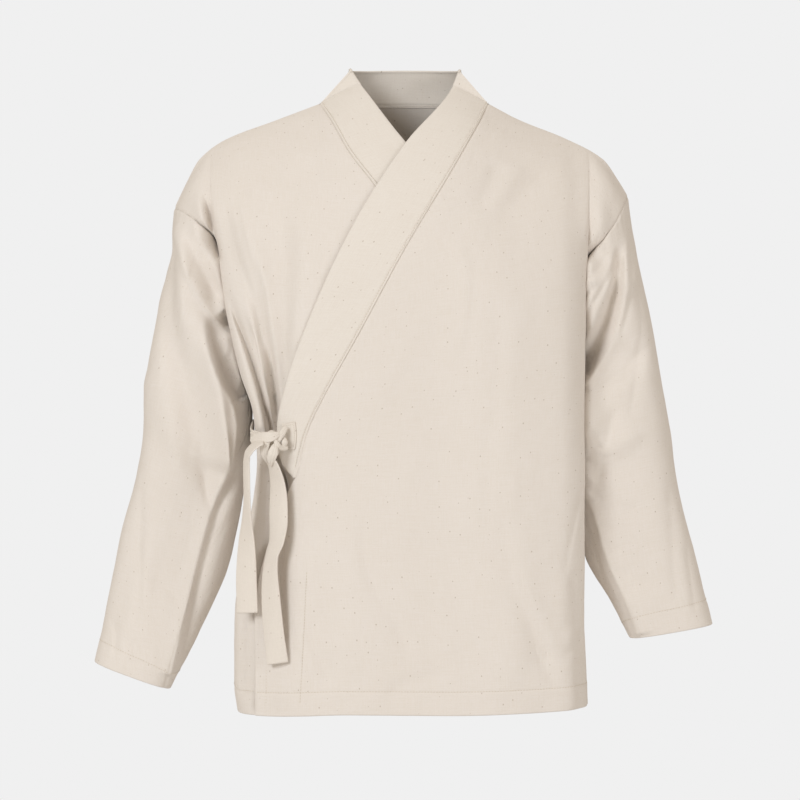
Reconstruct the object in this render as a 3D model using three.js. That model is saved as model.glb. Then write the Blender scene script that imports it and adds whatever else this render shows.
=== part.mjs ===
/**
 * Juban: a wrap-front jacket of undyed cotton calico, hollow, in the shape it takes when it is worn.
 *
 * Units are millimetres. +Z is up, +X is the wearer's left, and the front faces -Y. The origin lies
 * midway between the two points where the collar seam crosses the shoulders. Every panel is a wall of
 * cloth: a grid of points on its outer face, and the same grid moved in by the wall's thickness.
 */
import * as THREE from 'three';

// ---------- cloth ----------
const CLOTH_WALL = 1.5; // one layer of calico with its turnings
const COLLAR_WALL = 2.2; // the band is folded double
const TIE_WALL = 1.8;
const SEAM_GAP = 0.5; // free space left between two pieces at a seam
const OVERLAP_LIFT = 5; // the over front and its collar lie this far outside the under front

// ---------- levels ----------
const UNDERARM_Z = -324;
const COLLAR_END_Z = -446;
const HEM_Z = -723;

// ---------- mesh ----------
const TURNS = 12; // rows from the shoulder ridge down to the underarm
const ROWS_TO_COLLAR_END = 4;
const ROWS_TO_HEM = 9;
const SIDE_COLUMNS = 3; // columns from the fold edge round to the side seam or the armhole
const OVER_COLUMNS = 16;
const UNDER_COLUMNS = 15;
const NECK_COLUMNS = 5; // half of the back neck
const BACK_COLUMNS = 6; // from the neck point to the fold edge, each side
const SLEEVE_ROWS = 21;
const BAND_COLUMNS = 3;

// ---------- shoulders and neck ----------
const NECK_HALF = 101; // from the middle to where the collar seam crosses the shoulder
const NECK_DOME = 33; // how far the shoulder line would rise to the middle, were there no neck hole
const NECK_BACK = 44; // how far the neck pushes the back neckline behind the shoulder line
const NECK_BACK_RISE = 2;
const RIDGE_Y = 5;
const BAND_TOP = { half: 66, z: 40, back: 63, backRise: 5 }; // top edge of the standing collar
const FRONT_ARCH = 245; // drop over which the front leaves the shoulder line
const BACK_ARCH = 170;
const ARCH_ROUND = 1.2;

/** The shoulder line and the armhole of each side. `out` runs from the middle, `turn` round the armhole. */
const LEFT = {
  sign: 1,
  ridge: [
    { out: NECK_HALF, z: 0 },
    { out: 137, z: -19 },
    { out: 196, z: -43 },
    { out: 239, z: -67 },
    { out: 257, z: -92 },
    { out: 269, z: -112 },
  ],
  frontHole: [
    { turn: 0.0, out: 269, y: 6, z: -112 },
    { turn: 0.2, out: 263, y: -28, z: -123 },
    { turn: 0.35, out: 253, y: -48, z: -142 },
    { turn: 0.5, out: 237, y: -58, z: -164 },
    { turn: 0.62, out: 216, y: -45, z: -190 },
    { turn: 0.8, out: 204, y: -24, z: -246 },
    { turn: 1.0, out: 196, y: 8, z: UNDERARM_Z },
  ],
  backHole: [
    { turn: 0.0, out: 269, y: 6, z: -112 },
    { turn: 0.2, out: 265, y: 38, z: -123 },
    { turn: 0.35, out: 257, y: 60, z: -140 },
    { turn: 0.5, out: 244, y: 72, z: -160 },
    { turn: 0.62, out: 228, y: 70, z: -184 },
    { turn: 0.8, out: 209, y: 48, z: -244 },
    { turn: 1.0, out: 196, y: 8, z: UNDERARM_Z },
  ],
};
const RIGHT = {
  sign: -1,
  ridge: [
    { out: NECK_HALF, z: 0 },
    { out: 154, z: -20 },
    { out: 216, z: -44 },
    { out: 246, z: -67 },
    { out: 260, z: -92 },
    { out: 276, z: -126 },
  ],
  frontHole: [
    { turn: 0.0, out: 276, y: 6, z: -126 },
    { turn: 0.2, out: 269, y: -30, z: -129 },
    { turn: 0.35, out: 257, y: -50, z: -136 },
    { turn: 0.5, out: 243, y: -60, z: -147 },
    { turn: 0.62, out: 223, y: -47, z: -166 },
    { turn: 0.8, out: 206, y: -25, z: -238 },
    { turn: 1.0, out: 193, y: 6, z: UNDERARM_Z },
  ],
  backHole: [
    { turn: 0.0, out: 276, y: 6, z: -126 },
    { turn: 0.2, out: 271, y: 38, z: -131 },
    { turn: 0.35, out: 262, y: 60, z: -142 },
    { turn: 0.5, out: 248, y: 72, z: -158 },
    { turn: 0.62, out: 230, y: 70, z: -182 },
    { turn: 0.8, out: 208, y: 48, z: -242 },
    { turn: 1.0, out: 193, y: 6, z: UNDERARM_Z },
  ],
};

// ---------- the body's sections, from the shoulders to the hem ----------
// half: half width at the fold edge; edge: how far the fold edge stands before (or behind) the middle;
// depth: how far the middle stands before (or behind) it; seam: half width at the side seam.
const FRONT_SECTIONS = [
  { z: 0, halfL: 221, halfR: 235, edge: 106, depth: 118 },
  { z: -60, halfL: 221, halfR: 232, edge: 106, depth: 120 },
  { z: -120, halfL: 219, halfR: 229, edge: 105, depth: 123 },
  { z: -150, halfL: 218, halfR: 226, edge: 92, depth: 125 },
  { z: -185, halfL: 217, halfR: 220, edge: 66, depth: 126 },
  { z: -255, halfL: 215, halfR: 210, edge: 52, depth: 127 },
  { z: -324, halfL: 214, halfR: 194, edge: 54, depth: 125 },
  { z: -375, halfL: 213, halfR: 178, edge: 58, depth: 121 },
  { z: -430, halfL: 213, halfR: 174, edge: 60, depth: 118 },
  { z: -520, halfL: 213, halfR: 186, edge: 58, depth: 117 },
  { z: -610, halfL: 213, halfR: 201, edge: 50, depth: 118 },
  { z: -690, halfL: 216, halfR: 201, edge: 46, depth: 119 },
  { z: -730, halfL: 217, halfR: 196, edge: 46, depth: 119 },
];
const BACK_SECTIONS = [
  { z: 0, halfL: 222, halfR: 236, edge: 90, depth: 98 },
  { z: -60, halfL: 222, halfR: 233, edge: 98, depth: 106 },
  { z: -120, halfL: 222, halfR: 230, edge: 98, depth: 114 },
  { z: -150, halfL: 221, halfR: 227, edge: 92, depth: 116 },
  { z: -185, halfL: 218, halfR: 222, edge: 74, depth: 118 },
  { z: -255, halfL: 208, halfR: 208, edge: 60, depth: 115 },
  { z: -324, halfL: 200, halfR: 192, edge: 56, depth: 108 },
  { z: -430, halfL: 190, halfR: 172, edge: 52, depth: 100 },
  { z: -520, halfL: 198, halfR: 182, edge: 52, depth: 104 },
  { z: -620, halfL: 213, halfR: 199, edge: 52, depth: 110 },
  { z: -740, halfL: 217, halfR: 195, edge: 52, depth: 114 },
];
const SIDE_SEAM = [
  { z: UNDERARM_Z, outL: 196, outR: 193, y: 7 },
  { z: -375, outL: 188, outR: 178, y: 9 },
  { z: -430, outL: 184, outR: 168, y: 10 },
  { z: -520, outL: 197, outR: 180, y: 8 },
  { z: -620, outL: 214, outR: 199, y: 4 },
  { z: -740, outL: 220, outR: 196, y: 0 },
];
const SECTION_ROUND = 2.9; // 2 is an ellipse; more is flatter in the middle
/** How far the hem lies above its lowest level, across the front. */
const HEM_LINE = [
  { x: -202, rise: 7 },
  { x: -194, rise: -1 },
  { x: -160, rise: -2 },
  { x: -60, rise: 1 },
  { x: 60, rise: 0 },
  { x: 140, rise: 2 },
  { x: 217, rise: 6 },
];

// ---------- collar ----------
// seam: where the band is sewn to the front; edge: its free edge, which shows as the V of the neck.
const OVER_BAND = [
  { seamX: NECK_HALF, seamZ: 0, edgeX: BAND_TOP.half, edgeZ: BAND_TOP.z },
  { seamX: 92, seamZ: -19, edgeX: 54, edgeZ: 12 },
  { seamX: 59, seamZ: -81, edgeX: 3, edgeZ: -51 },
  { seamX: 1, seamZ: -180, edgeX: -57, edgeZ: -147 },
  { seamX: -48, seamZ: -271, edgeX: -101, edgeZ: -241 },
  { seamX: -94, seamZ: -356, edgeX: -135, edgeZ: -336 },
  { seamX: -111, seamZ: -394, edgeX: -145, edgeZ: -388 },
  { seamX: -118, seamZ: -420, edgeX: -144, edgeZ: -412 },
  { seamX: -124, seamZ: COLLAR_END_Z, edgeX: -130, edgeZ: -442 },
];
const UNDER_BAND = [
  { seamX: -NECK_HALF, seamZ: 0, edgeX: -64, edgeZ: 41 },
  { seamX: -88, seamZ: -21, edgeX: -46, edgeZ: 14 },
  { seamX: -65, seamZ: -63, edgeX: -13, edgeZ: -33 },
  { seamX: -31, seamZ: -109, edgeX: 19, edgeZ: -74 },
  { seamX: 15, seamZ: -183, edgeX: 67, edgeZ: -152 },
  { seamX: 71, seamZ: -276, edgeX: 122, edgeZ: -246 },
  { seamX: 110, seamZ: -356, edgeX: 152, edgeZ: -338 },
  { seamX: 128, seamZ: -410, edgeX: 162, edgeZ: -398 },
  { seamX: 137, seamZ: COLLAR_END_Z, edgeX: 144, edgeZ: -442 },
];
/** The free edges of the two fronts below their collar ends. */
const OVER_EDGE = [
  { z: COLLAR_END_Z, x: -124 },
  { z: -457, x: -130 },
  { z: -477, x: -141 },
  { z: -516, x: -154 },
  { z: -536, x: -162 },
  { z: -574, x: -169 },
  { z: -604, x: -172 },
  { z: -740, x: -172 },
];
const UNDER_EDGE = [
  { z: COLLAR_END_Z, x: 137 },
  { z: -540, x: 160 },
  { z: -740, x: 168 },
];

// ---------- folds ----------
// Each runs from (x0, z0) to (x1, z1) as seen from the front (or the back). `rise` is how far the cloth
// stands out along it, less than 0 for a trough, `half` the half width at each end.
const SHARED_FOLDS = [
  { x0: -148, z0: -440, x1: -151, z1: -640, half0: 10, half1: 16, rise: -14 },
  { x0: -165, z0: -640, x1: -160, z1: -730, half0: 14, half1: 20, rise: -3 },
  { x0: 30, z0: -250, x1: 60, z1: -700, half0: 30, half1: 40, rise: -4 },
  { x0: 110, z0: -200, x1: 128, z1: -690, half0: 26, half1: 36, rise: 4 },
  { x0: -60, z0: -480, x1: -40, z1: -730, half0: 24, half1: 34, rise: 3 },
  { x0: -115, z0: -520, x1: -112, z1: -730, half0: 20, half1: 26, rise: 3 },
];
const OVER_FOLDS = [
  ...SHARED_FOLDS,
  { x0: 182, z0: -560, x1: 192, z1: -730, half0: 16, half1: 20, rise: 4 },
];
const UNDER_FOLDS = [
  ...SHARED_FOLDS,
  { x0: -196, z0: -262, x1: -160, z1: -400, half0: 13, half1: 8, rise: -15 },
  { x0: -150, z0: -150, x1: -150, z1: -400, half0: 26, half1: 9, rise: -13 },
  { x0: -176, z0: -150, x1: -156, z1: -400, half0: 22, half1: 8, rise: 7 },
  { x0: -108, z0: -110, x1: -132, z1: -300, half0: 24, half1: 16, rise: 4 },
  { x0: -159, z0: -424, x1: -172, z1: -610, half0: 10, half1: 10, rise: -22 },
  { x0: -187, z0: -590, x1: -186, z1: -700, half0: 10, half1: 11, rise: -7 },
];
const BACK_FOLDS = [
  { x0: 0, z0: -160, x1: -12, z1: -720, half0: 34, half1: 44, rise: -5 },
  { x0: 96, z0: -200, x1: 84, z1: -720, half0: 28, half1: 34, rise: 5 },
  { x0: -104, z0: -190, x1: -88, z1: -720, half0: 28, half1: 34, rise: 5 },
  { x0: -60, z0: -260, x1: -140, z1: -420, half0: 22, half1: 18, rise: -6 },
  { x0: 150, z0: -230, x1: 158, z1: -700, half0: 20, half1: 28, rise: -6 },
  { x0: -150, z0: -240, x1: -156, z1: -700, half0: 20, half1: 28, rise: -6 },
];

// ---------- sleeves ----------
// Rings down each sleeve: middle (out, y, z), half width across, half depth, tilt of the ring in degrees
// and how far the underarm seam is turned to the front, in degrees.
const LEFT_SLEEVE = [
  { out: 236, y: 8, z: -110, half: 42, depth: 62, tilt: 4, turn: 0 },
  { out: 243, y: 8, z: -180, half: 42, depth: 66, tilt: 6, turn: 0 },
  { out: 248, y: 10, z: -250, half: 46, depth: 68, tilt: 8, turn: 0 },
  { out: 253, y: 12, z: -330, half: 54, depth: 67, tilt: 10, turn: -4 },
  { out: 260, y: 13, z: -430, half: 64, depth: 62, tilt: 11, turn: -8 },
  { out: 280, y: 12, z: -530, half: 64, depth: 56, tilt: 11, turn: -10 },
  { out: 304, y: 8, z: -590, half: 55, depth: 50, tilt: 10, turn: -10 },
  { out: 320, y: 2, z: -632, half: 50, depth: 42, tilt: 10, turn: -8 },
];
const RIGHT_SLEEVE = [
  { out: 240, y: 8, z: -120, half: 42, depth: 62, tilt: 2, turn: 0 },
  { out: 246, y: 8, z: -180, half: 42, depth: 66, tilt: 4, turn: 6 },
  { out: 250, y: 9, z: -250, half: 48, depth: 68, tilt: 8, turn: 14 },
  { out: 249, y: 10, z: -325, half: 60, depth: 67, tilt: 10, turn: 25 },
  { out: 248, y: 10, z: -352, half: 66, depth: 66, tilt: 10, turn: 32 },
  { out: 248, y: 10, z: -395, half: 66, depth: 63, tilt: 11, turn: 43 },
  { out: 250, y: 10, z: -430, half: 69, depth: 60, tilt: 12, turn: 52 },
  { out: 274, y: 8, z: -530, half: 67, depth: 54, tilt: 14, turn: 64 },
  { out: 300, y: 2, z: -615, half: 58, depth: 48, tilt: 17, turn: 56 },
  { out: 325, y: -6, z: -684, half: 48, depth: 42, tilt: 20, turn: 34 },
];
const SLEEVE_ROUND = 2.25;
const SLEEVE_CLEAR = 4.6; // between a sleeve and the side of the body
const SEAM_REACH = 0.34; // share of the sleeve over which it takes the tube's shape from the armhole's
// `at` is the place round the sleeve in degrees (0 outside, 90 in front), `down` the share of its length.
const LEFT_SLEEVE_FOLDS = [
  { at0: 140, down0: 0.02, at1: 60, down1: 0.16, half: 17, rise: 8 },
  { at0: 150, down0: 0.16, at1: 78, down1: 0.34, half: 20, rise: -11 },
  { at0: 150, down0: 0.3, at1: 96, down1: 0.52, half: 20, rise: 8 },
  { at0: 116, down0: 0.5, at1: 112, down1: 0.86, half: 20, rise: -6 },
  { at0: 300, down0: 0.1, at1: 240, down1: 0.5, half: 22, rise: -7 },
  { at0: 290, down0: 0.4, at1: 262, down1: 0.8, half: 22, rise: 6 },
];
const RIGHT_SLEEVE_FOLDS = [
  { at0: 42, down0: 0.0, at1: 112, down1: 0.3, half: 18, rise: 10 },
  { at0: 30, down0: 0.1, at1: 100, down1: 0.42, half: 22, rise: -9 },
  { at0: 112, down0: 0.4, at1: 96, down1: 0.74, half: 20, rise: -5 },
  { at0: 60, down0: 0.5, at1: 50, down1: 0.95, half: 22, rise: -4 },
  { at0: 300, down0: 0.1, at1: 240, down1: 0.5, half: 22, rise: -7 },
  { at0: 280, down0: 0.4, at1: 262, down1: 0.8, half: 22, rise: 6 },
];

// ---------- ties ----------
const TIE_WIDTH = 25;
const ROOT_SEAT = 0.7; // between the collar and the root sewn on it
const KNOT = { x: -154.5, y: -121, z: -406, half: 15, depth: 13, height: 21 };
/** Hanging ends: the middle of the band, and how wide it shows, from the knot down. */
const OVER_TAIL = [
  { x: -151, y: -120, z: -426.8, shows: 15, lean: 4 },
  { x: -147, y: -118, z: -450, shows: 16, lean: 4 },
  { x: -146, y: -119, z: -484, shows: 20, lean: 2 },
  { x: -148, y: -121, z: -520, shows: 20, lean: -4 },
  { x: -155, y: -122, z: -542, shows: 17, lean: -10 },
  { x: -157, y: -122, z: -560, shows: 16, lean: -9 },
  { x: -153, y: -122, z: -590, shows: 17, lean: -6 },
  { x: -150, y: -121, z: -624, shows: 23, lean: -2 },
  { x: -147, y: -121, z: -669, shows: 24.6, lean: 3 },
];
const SIDE_TAIL = [
  { x: -169.2, y: -118, z: -407, shows: 4, lean: 12 },
  { x: -183, y: -112, z: -417, shows: 9, lean: 20 },
  { x: -184, y: -108, z: -450, shows: 7, lean: 22 },
  { x: -184, y: -107, z: -480, shows: 11, lean: 20 },
  { x: -184, y: -106, z: -520, shows: 18, lean: 14 },
  { x: -185, y: -106, z: -560, shows: 24, lean: 6 },
  { x: -184, y: -106, z: -605, shows: 23, lean: 0 },
];
/** The root sewn flat on the collar's end, seen from the front: its middle line and half height. */
const OVER_ROOT = [
  { x: -124, z: -399, half: 14 },
  { x: -131, z: -399, half: 14 },
  { x: -140.1, z: -402, half: 8 },
];
/** The root sewn into the side seam: its middle line round the side to the knot, and half height. */
const SIDE_ROOT = [
  { x: -180.3, y: 2, z: -388, half: 12 },
  { x: -180.4, y: -30, z: -388, half: 12 },
  { x: -180.7, y: -58, z: -389, half: 12 },
  { x: -180, y: -84, z: -391, half: 10 },
  { x: -177, y: -103, z: -393, half: 7 },
  { x: -168.8, y: -116.3, z: -396.5, half: 5 },
];

// ================= helpers =================
const { lerp, clamp, degToRad } = THREE.MathUtils;
const smooth = (value, from = 0, to = 1) => THREE.MathUtils.smoothstep(value, from, to);
const point = (x, y, z) => new THREE.Vector3(x, y, z);
const counted = (n) => Array.from({ length: n + 1 }, (_, i) => i / n);

/** A smooth curve through one column of a table, read at a value of another, with no overshoot. */
function track(table, at, of) {
  const rows = table.map((row) => [row[at], row[of]]).sort((a, b) => a[0] - b[0]);
  const slope = rows.slice(1).map(([x, y], i) => (y - rows[i][1]) / (x - rows[i][0]));
  const tangent = rows.map((_, i) => {
    if (i === 0) return slope[0];
    if (i === rows.length - 1) return slope[i - 1];
    const [before, after] = [slope[i - 1], slope[i]];
    return before * after <= 0 ? 0 : (2 * before * after) / (before + after);
  });
  return (value) => {
    const x = clamp(value, rows[0][0], rows.at(-1)[0]);
    let i = 0;
    while (i < rows.length - 2 && x > rows[i + 1][0]) i += 1;
    const span = rows[i + 1][0] - rows[i][0];
    const t = (x - rows[i][0]) / span;
    const rest = 1 - t;
    return (
      rows[i][1] * (1 + 2 * t) * rest * rest +
      rows[i + 1][1] * t * t * (3 - 2 * t) +
      span * t * rest * (tangent[i] * rest - tangent[i + 1] * t)
    );
  };
}

/** Every named column of a table as a track. */
function tracks(table, at, columns) {
  return Object.fromEntries(columns.map((name) => [name, track(table, at, name)]));
}

const FRONT = tracks(FRONT_SECTIONS, 'z', ['halfL', 'halfR', 'edge', 'depth']);
const BACK = tracks(BACK_SECTIONS, 'z', ['halfL', 'halfR', 'edge', 'depth']);
const SEAM = tracks(SIDE_SEAM, 'z', ['outL', 'outR', 'y']);
const hemRise = track(HEM_LINE, 'x', 'rise');
for (const side of [LEFT, RIGHT]) {
  side.ridgeZ = track(side.ridge, 'out', 'z');
  side.front = tracks(side.frontHole, 'turn', ['out', 'y', 'z']);
  side.back = tracks(side.backHole, 'turn', ['out', 'y', 'z']);
}
const sideOf = (x) => (x < 0 ? RIGHT : LEFT);
const halfAt = (sections, side, z) => (side === LEFT ? sections.halfL(z) : sections.halfR(z));

/** Height of the shoulder line at x; inside the neck hole it goes on rising as a low dome. */
function shoulderZ(x) {
  const share = Math.abs(x) / NECK_HALF;
  return share < 1 ? NECK_DOME * (1 - share * share) : sideOf(x).ridgeZ(Math.abs(x));
}

/** Height of the back's top edge at x: the neckline in the middle, the shoulder line beside it. */
function backTopZ(x) {
  const share = Math.abs(x) / NECK_HALF;
  return share < 1 ? NECK_BACK_RISE * (1 - share * share) : shoulderZ(x);
}

/** How far the neck pushes the back out at x, `drop` below the shoulder line: it widens and fades. */
function neckPush(x, drop) {
  const share = Math.min(Math.abs(x) / (NECK_HALF + 0.9 * drop), 1);
  const round = lerp(0.5, 1.3, smooth(drop, 0, 70));
  return NECK_BACK * Math.pow(1 - share * share, round);
}

/** 0 at the shoulder line and 1 once the cloth has dropped by `reach`: a rounded corner between them. */
function arch(drop, reach) {
  const t = clamp(drop / reach, 0, 1);
  return Math.pow(1 - (1 - t) * (1 - t), 1 / ARCH_ROUND);
}

/** Which way the cloth faces at x, seen from above: forward in the middle, sideways at the fold edge. */
function facing(x, half, forward) {
  const turn = (Math.PI / 2) * Math.pow(Math.min(Math.abs(x) / half, 1), 3) * Math.sign(x);
  return point(Math.sin(turn), forward * Math.cos(turn), 0);
}

/** Sum of the folds' rises at (x, z): each is a smooth bump across its line, faded at its ends. */
function foldRise(folds, x, z) {
  let rise = 0;
  for (const fold of folds) {
    const [dx, dz] = [fold.x1 - fold.x0, fold.z1 - fold.z0];
    const length = Math.hypot(dx, dz);
    const along = ((x - fold.x0) * dx + (z - fold.z0) * dz) / (length * length);
    const across = Math.abs((x - fold.x0) * dz - (z - fold.z0) * dx) / length;
    const half = lerp(fold.half0, fold.half1, clamp(along, 0, 1));
    const ends = smooth(along, -0.12, 0.2) * (1 - smooth(along, 0.88, 1.1));
    rise += fold.rise * ends * Math.exp(-Math.pow(across / half, 2));
  }
  return rise;
}

/** A point of the body's front (forward -1) or back (forward 1) at x and z, with its folds. */
function bodyPoint(x, z, forward, folds, lift = 0) {
  const [sections, reach] = forward < 0 ? [FRONT, FRONT_ARCH] : [BACK, BACK_ARCH];
  const half = halfAt(sections, sideOf(x), z);
  const share = Math.min(Math.abs(x) / half, 1);
  const bulge = Math.pow(1 - Math.pow(share, SECTION_ROUND), 1 / SECTION_ROUND);
  const stand = lerp(sections.edge(z), sections.depth(z), bulge);
  const drop = shoulderZ(x) - z;
  const y = lerp(RIDGE_Y + (forward > 0 ? neckPush(x, drop) : 0), forward * stand, arch(drop, reach));
  const away = foldRise(folds, x, z) * smooth(drop, 10, 90) * (1 - smooth(share, 0.86, 1));
  return point(x, y, z).addScaledVector(facing(x, half, forward), away + lift);
}

/** How far the over layer stands off: nothing at the shoulder line and at the wearer's left side. */
function overLift(x, z) {
  return OVERLAP_LIFT * smooth(shoulderZ(x) - z, 2, 44) * (1 - smooth(x, 180, 212));
}
const overPoint = (x, z) => bodyPoint(x, z, -1, OVER_FOLDS, overLift(x, z));
const underPoint = (x, z) => bodyPoint(x, z, -1, UNDER_FOLDS);
const backPoint = (x, z) => bodyPoint(x, z, 1, BACK_FOLDS);

// ================= rows of the body =================
/** Rows from the shoulder ridge to the hem. `turn` runs 0 to 1 round the armhole, then stays 1. */
const ROWS = [
  ...counted(TURNS).map((turn) => ({ turn, fall: 1 - Math.cos((turn * Math.PI) / 2), z: UNDERARM_Z })),
  ...counted(ROWS_TO_COLLAR_END).slice(1).map((t) => ({ turn: 1, z: lerp(UNDERARM_Z, COLLAR_END_Z, t) })),
  ...counted(ROWS_TO_HEM).slice(1).map((t) => ({ turn: 1, z: lerp(COLLAR_END_Z, HEM_Z, t) })),
];

/** Height of a row at x: it follows the shoulder line at the top, is level below, and ends on the hem. */
function rowZ(row, x, topZ = shoulderZ) {
  if (row.fall !== undefined) return lerp(topZ(x), UNDERARM_Z, row.fall);
  return row.z + hemRise(x) * smooth(-row.z, -COLLAR_END_Z, -HEM_Z);
}

/** Where a row meets a line that is given as x for each z. */
function meet(row, xOfZ) {
  let x = xOfZ(row.z);
  for (let i = 0; i < 30; i += 1) x = lerp(x, xOfZ(rowZ(row, x)), 0.6);
  return x;
}

/** n + 1 values from 0 to 1 at which points of a curve are evenly far apart. */
function evenly(curve, n) {
  const fine = counted(160).map((t) => 0.5 - 0.5 * Math.cos(Math.PI * t));
  const lengths = [0];
  fine.slice(1).forEach((t, i) => lengths.push(lengths[i] + curve(t).distanceTo(curve(fine[i]))));
  return counted(n).map((share) => {
    const want = share * lengths.at(-1);
    let i = 0;
    while (i < lengths.length - 2 && lengths[i + 1] < want) i += 1;
    const part = (want - lengths[i]) / Math.max(lengths[i + 1] - lengths[i], 1e-9);
    return lerp(fine[i], fine[i + 1], clamp(part, 0, 1));
  });
}

/** The seam at a row's outer end: on the armhole above the underarm, on the side seam below it. */
function seamPoint(row, side, which) {
  if (row.turn < 1) {
    return point(side.sign * which.out(row.turn), which.y(row.turn), which.z(row.turn));
  }
  const out = side === LEFT ? SEAM.outL(row.z) : SEAM.outR(row.z);
  return point(side.sign * out, SEAM.y(row.z), rowZ(row, side.sign * out));
}

/** How far in towards the seam the side has turned, at a share of its way there. */
const turnIn = (t) => 1 - Math.pow(1 - t, 2.2);

/** How far out the body's side stands at y and z, below the arm. */
function sideOut(side, y, z) {
  const [seamOut, seamY] = [side === LEFT ? SEAM.outL(z) : SEAM.outR(z), SEAM.y(z)];
  const sections = y < seamY ? FRONT : BACK;
  const way = clamp(Math.abs(y - seamY) / (sections.edge(z) + Math.sign(seamY - y) * seamY), 0, 1);
  return lerp(halfAt(sections, side, z), seamOut, turnIn(1 - way));
}

/** From the fold edge round to the seam: over the top of the arm near the shoulder, inward below it. */
function sideStrip(row, side, forward, surface) {
  const sections = forward < 0 ? FRONT : BACK;
  const hole = forward < 0 ? side.front : side.back;
  const half = halfAt(sections, side, row.turn < 1 ? lerp(shoulderZ(220), UNDERARM_Z, row.fall) : row.z);
  const x = side.sign * half;
  const start = surface(x, rowZ(row, x));
  const end = seamPoint(row, side, hole);
  const cap = 1 - smooth(row.turn, 0.1, 0.66);
  const crease = smooth(row.turn, 0.3, 0.62);
  return (t) => {
    const inward = lerp(t, turnIn(t), crease);
    const at = start.clone().lerp(end, t);
    at.x = lerp(start.x, end.x, inward);
    const out = start.x * side.sign + (end.x - start.x) * side.sign * t;
    at.z = lerp(at.z, side.ridgeZ(out), row.turn === 0 ? 1 : 0);
    const bulge = Math.sin(Math.PI * t);
    at.z += row.turn > 0 ? 9 * bulge * cap * (1 - row.turn) : 0;
    at.y += forward * bulge * 8 * smooth(row.turn, 0, 0.3) * (1 - smooth(row.turn, 0.5, 0.7));
    return at;
  };
}

/** One row of a panel: evenly spaced points from its inner end to the fold edge, then the strip. */
function panelRow(row, from, side, forward, surface, columns) {
  const strip = sideStrip(row, side, forward, surface);
  const edge = strip(0);
  const start = from(row);
  const main = (t) => {
    const x = lerp(start, edge.x, t);
    return surface(x, rowZ(row, x));
  };
  const points = evenly(main, columns).map(main);
  evenly(strip, SIDE_COLUMNS).slice(1).forEach((t) => points.push(strip(t)));
  return points;
}

// ================= panels as grids =================
const bandSeamX = (band) => track(band, 'seamZ', 'seamX');
const overSeamX = bandSeamX(OVER_BAND);
const underSeamX = bandSeamX(UNDER_BAND);
const overEdgeX = track(OVER_EDGE, 'z', 'x');
const underEdgeX = track(UNDER_EDGE, 'z', 'x');
const frontEdge = (seamX, edgeX) => (row) => meet(row, (z) => (z > COLLAR_END_Z ? seamX(z) : edgeX(z)));
const overStart = frontEdge(overSeamX, overEdgeX);
const underStart = frontEdge(underSeamX, underEdgeX);

const frontOver = ROWS.map((row) => panelRow(row, overStart, LEFT, -1, overPoint, OVER_COLUMNS));
const frontUnder = ROWS.map((row) => panelRow(row, underStart, RIGHT, -1, underPoint, UNDER_COLUMNS));

/** The neckline at the back, and the top edge of the collar above it, at an angle from the side. */
const neckAngles = counted(2 * NECK_COLUMNS).map((t) => Math.PI * t);
const neckSeam = (angle) => backPoint(NECK_HALF * Math.cos(angle), backTopZ(NECK_HALF * Math.cos(angle)));
const bandTop = (angle) =>
  point(
    lerp(UNDER_BAND[0].edgeX, BAND_TOP.half, (1 + Math.cos(angle)) / 2),
    RIDGE_Y + (BAND_TOP.back - RIDGE_Y) * Math.sin(angle),
    BAND_TOP.z + BAND_TOP.backRise * Math.sin(angle),
  );

/** One row of the back, from the wearer's left seam to the right, its middle columns fanned to the neck. */
function backRow(row) {
  const at = (x) => backPoint(x, rowZ(row, x, backTopZ));
  const halfRow = (side) => {
    const strip = sideStrip(row, side, 1, backPoint);
    const main = (t) => at(lerp(side.sign * NECK_HALF, strip(0).x, t));
    const points = evenly(main, BACK_COLUMNS).map(main);
    evenly(strip, SIDE_COLUMNS).slice(1).forEach((t) => points.push(strip(t)));
    return points;
  };
  const middle = neckAngles.slice(1, -1).map((angle) => at(NECK_HALF * Math.cos(angle)));
  return [...halfRow(LEFT).reverse(), ...middle, ...halfRow(RIGHT)];
}
const back = ROWS.map(backRow);

/** The band across a front: from the seam to the free edge, on the same surface as the front. */
function bandRow(table, surface, seam) {
  const [edgeX, edgeZ] = ['edgeX', 'edgeZ'].map((name) => track(table, 'seamZ', name));
  const end = { x: edgeX(seam.z), z: edgeZ(seam.z) };
  return counted(BAND_COLUMNS).map((t) =>
    t === 0 ? seam.clone() : surface(lerp(seam.x, end.x, t), lerp(seam.z, end.z, t)),
  );
}
const bandRows = ROWS.filter((row) => row.z >= COLLAR_END_Z);
const overBand = bandRows.map((_, i) => bandRow(OVER_BAND, overPoint, frontOver[i][0]));
const underBand = bandRows.map((_, i) => bandRow(UNDER_BAND, underPoint, frontUnder[i][0]));
const neckBand = neckAngles.map((angle) =>
  counted(BAND_COLUMNS).map((t) => {
    const crown = 2.5 * Math.sin(Math.PI * t) * Math.sin(angle);
    return neckSeam(angle).lerp(bandTop(angle), t).add(point(0, crown, 0));
  }),
);
const collar = [...overBand.reverse(), ...neckBand.slice(1, -1), ...underBand];

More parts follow.
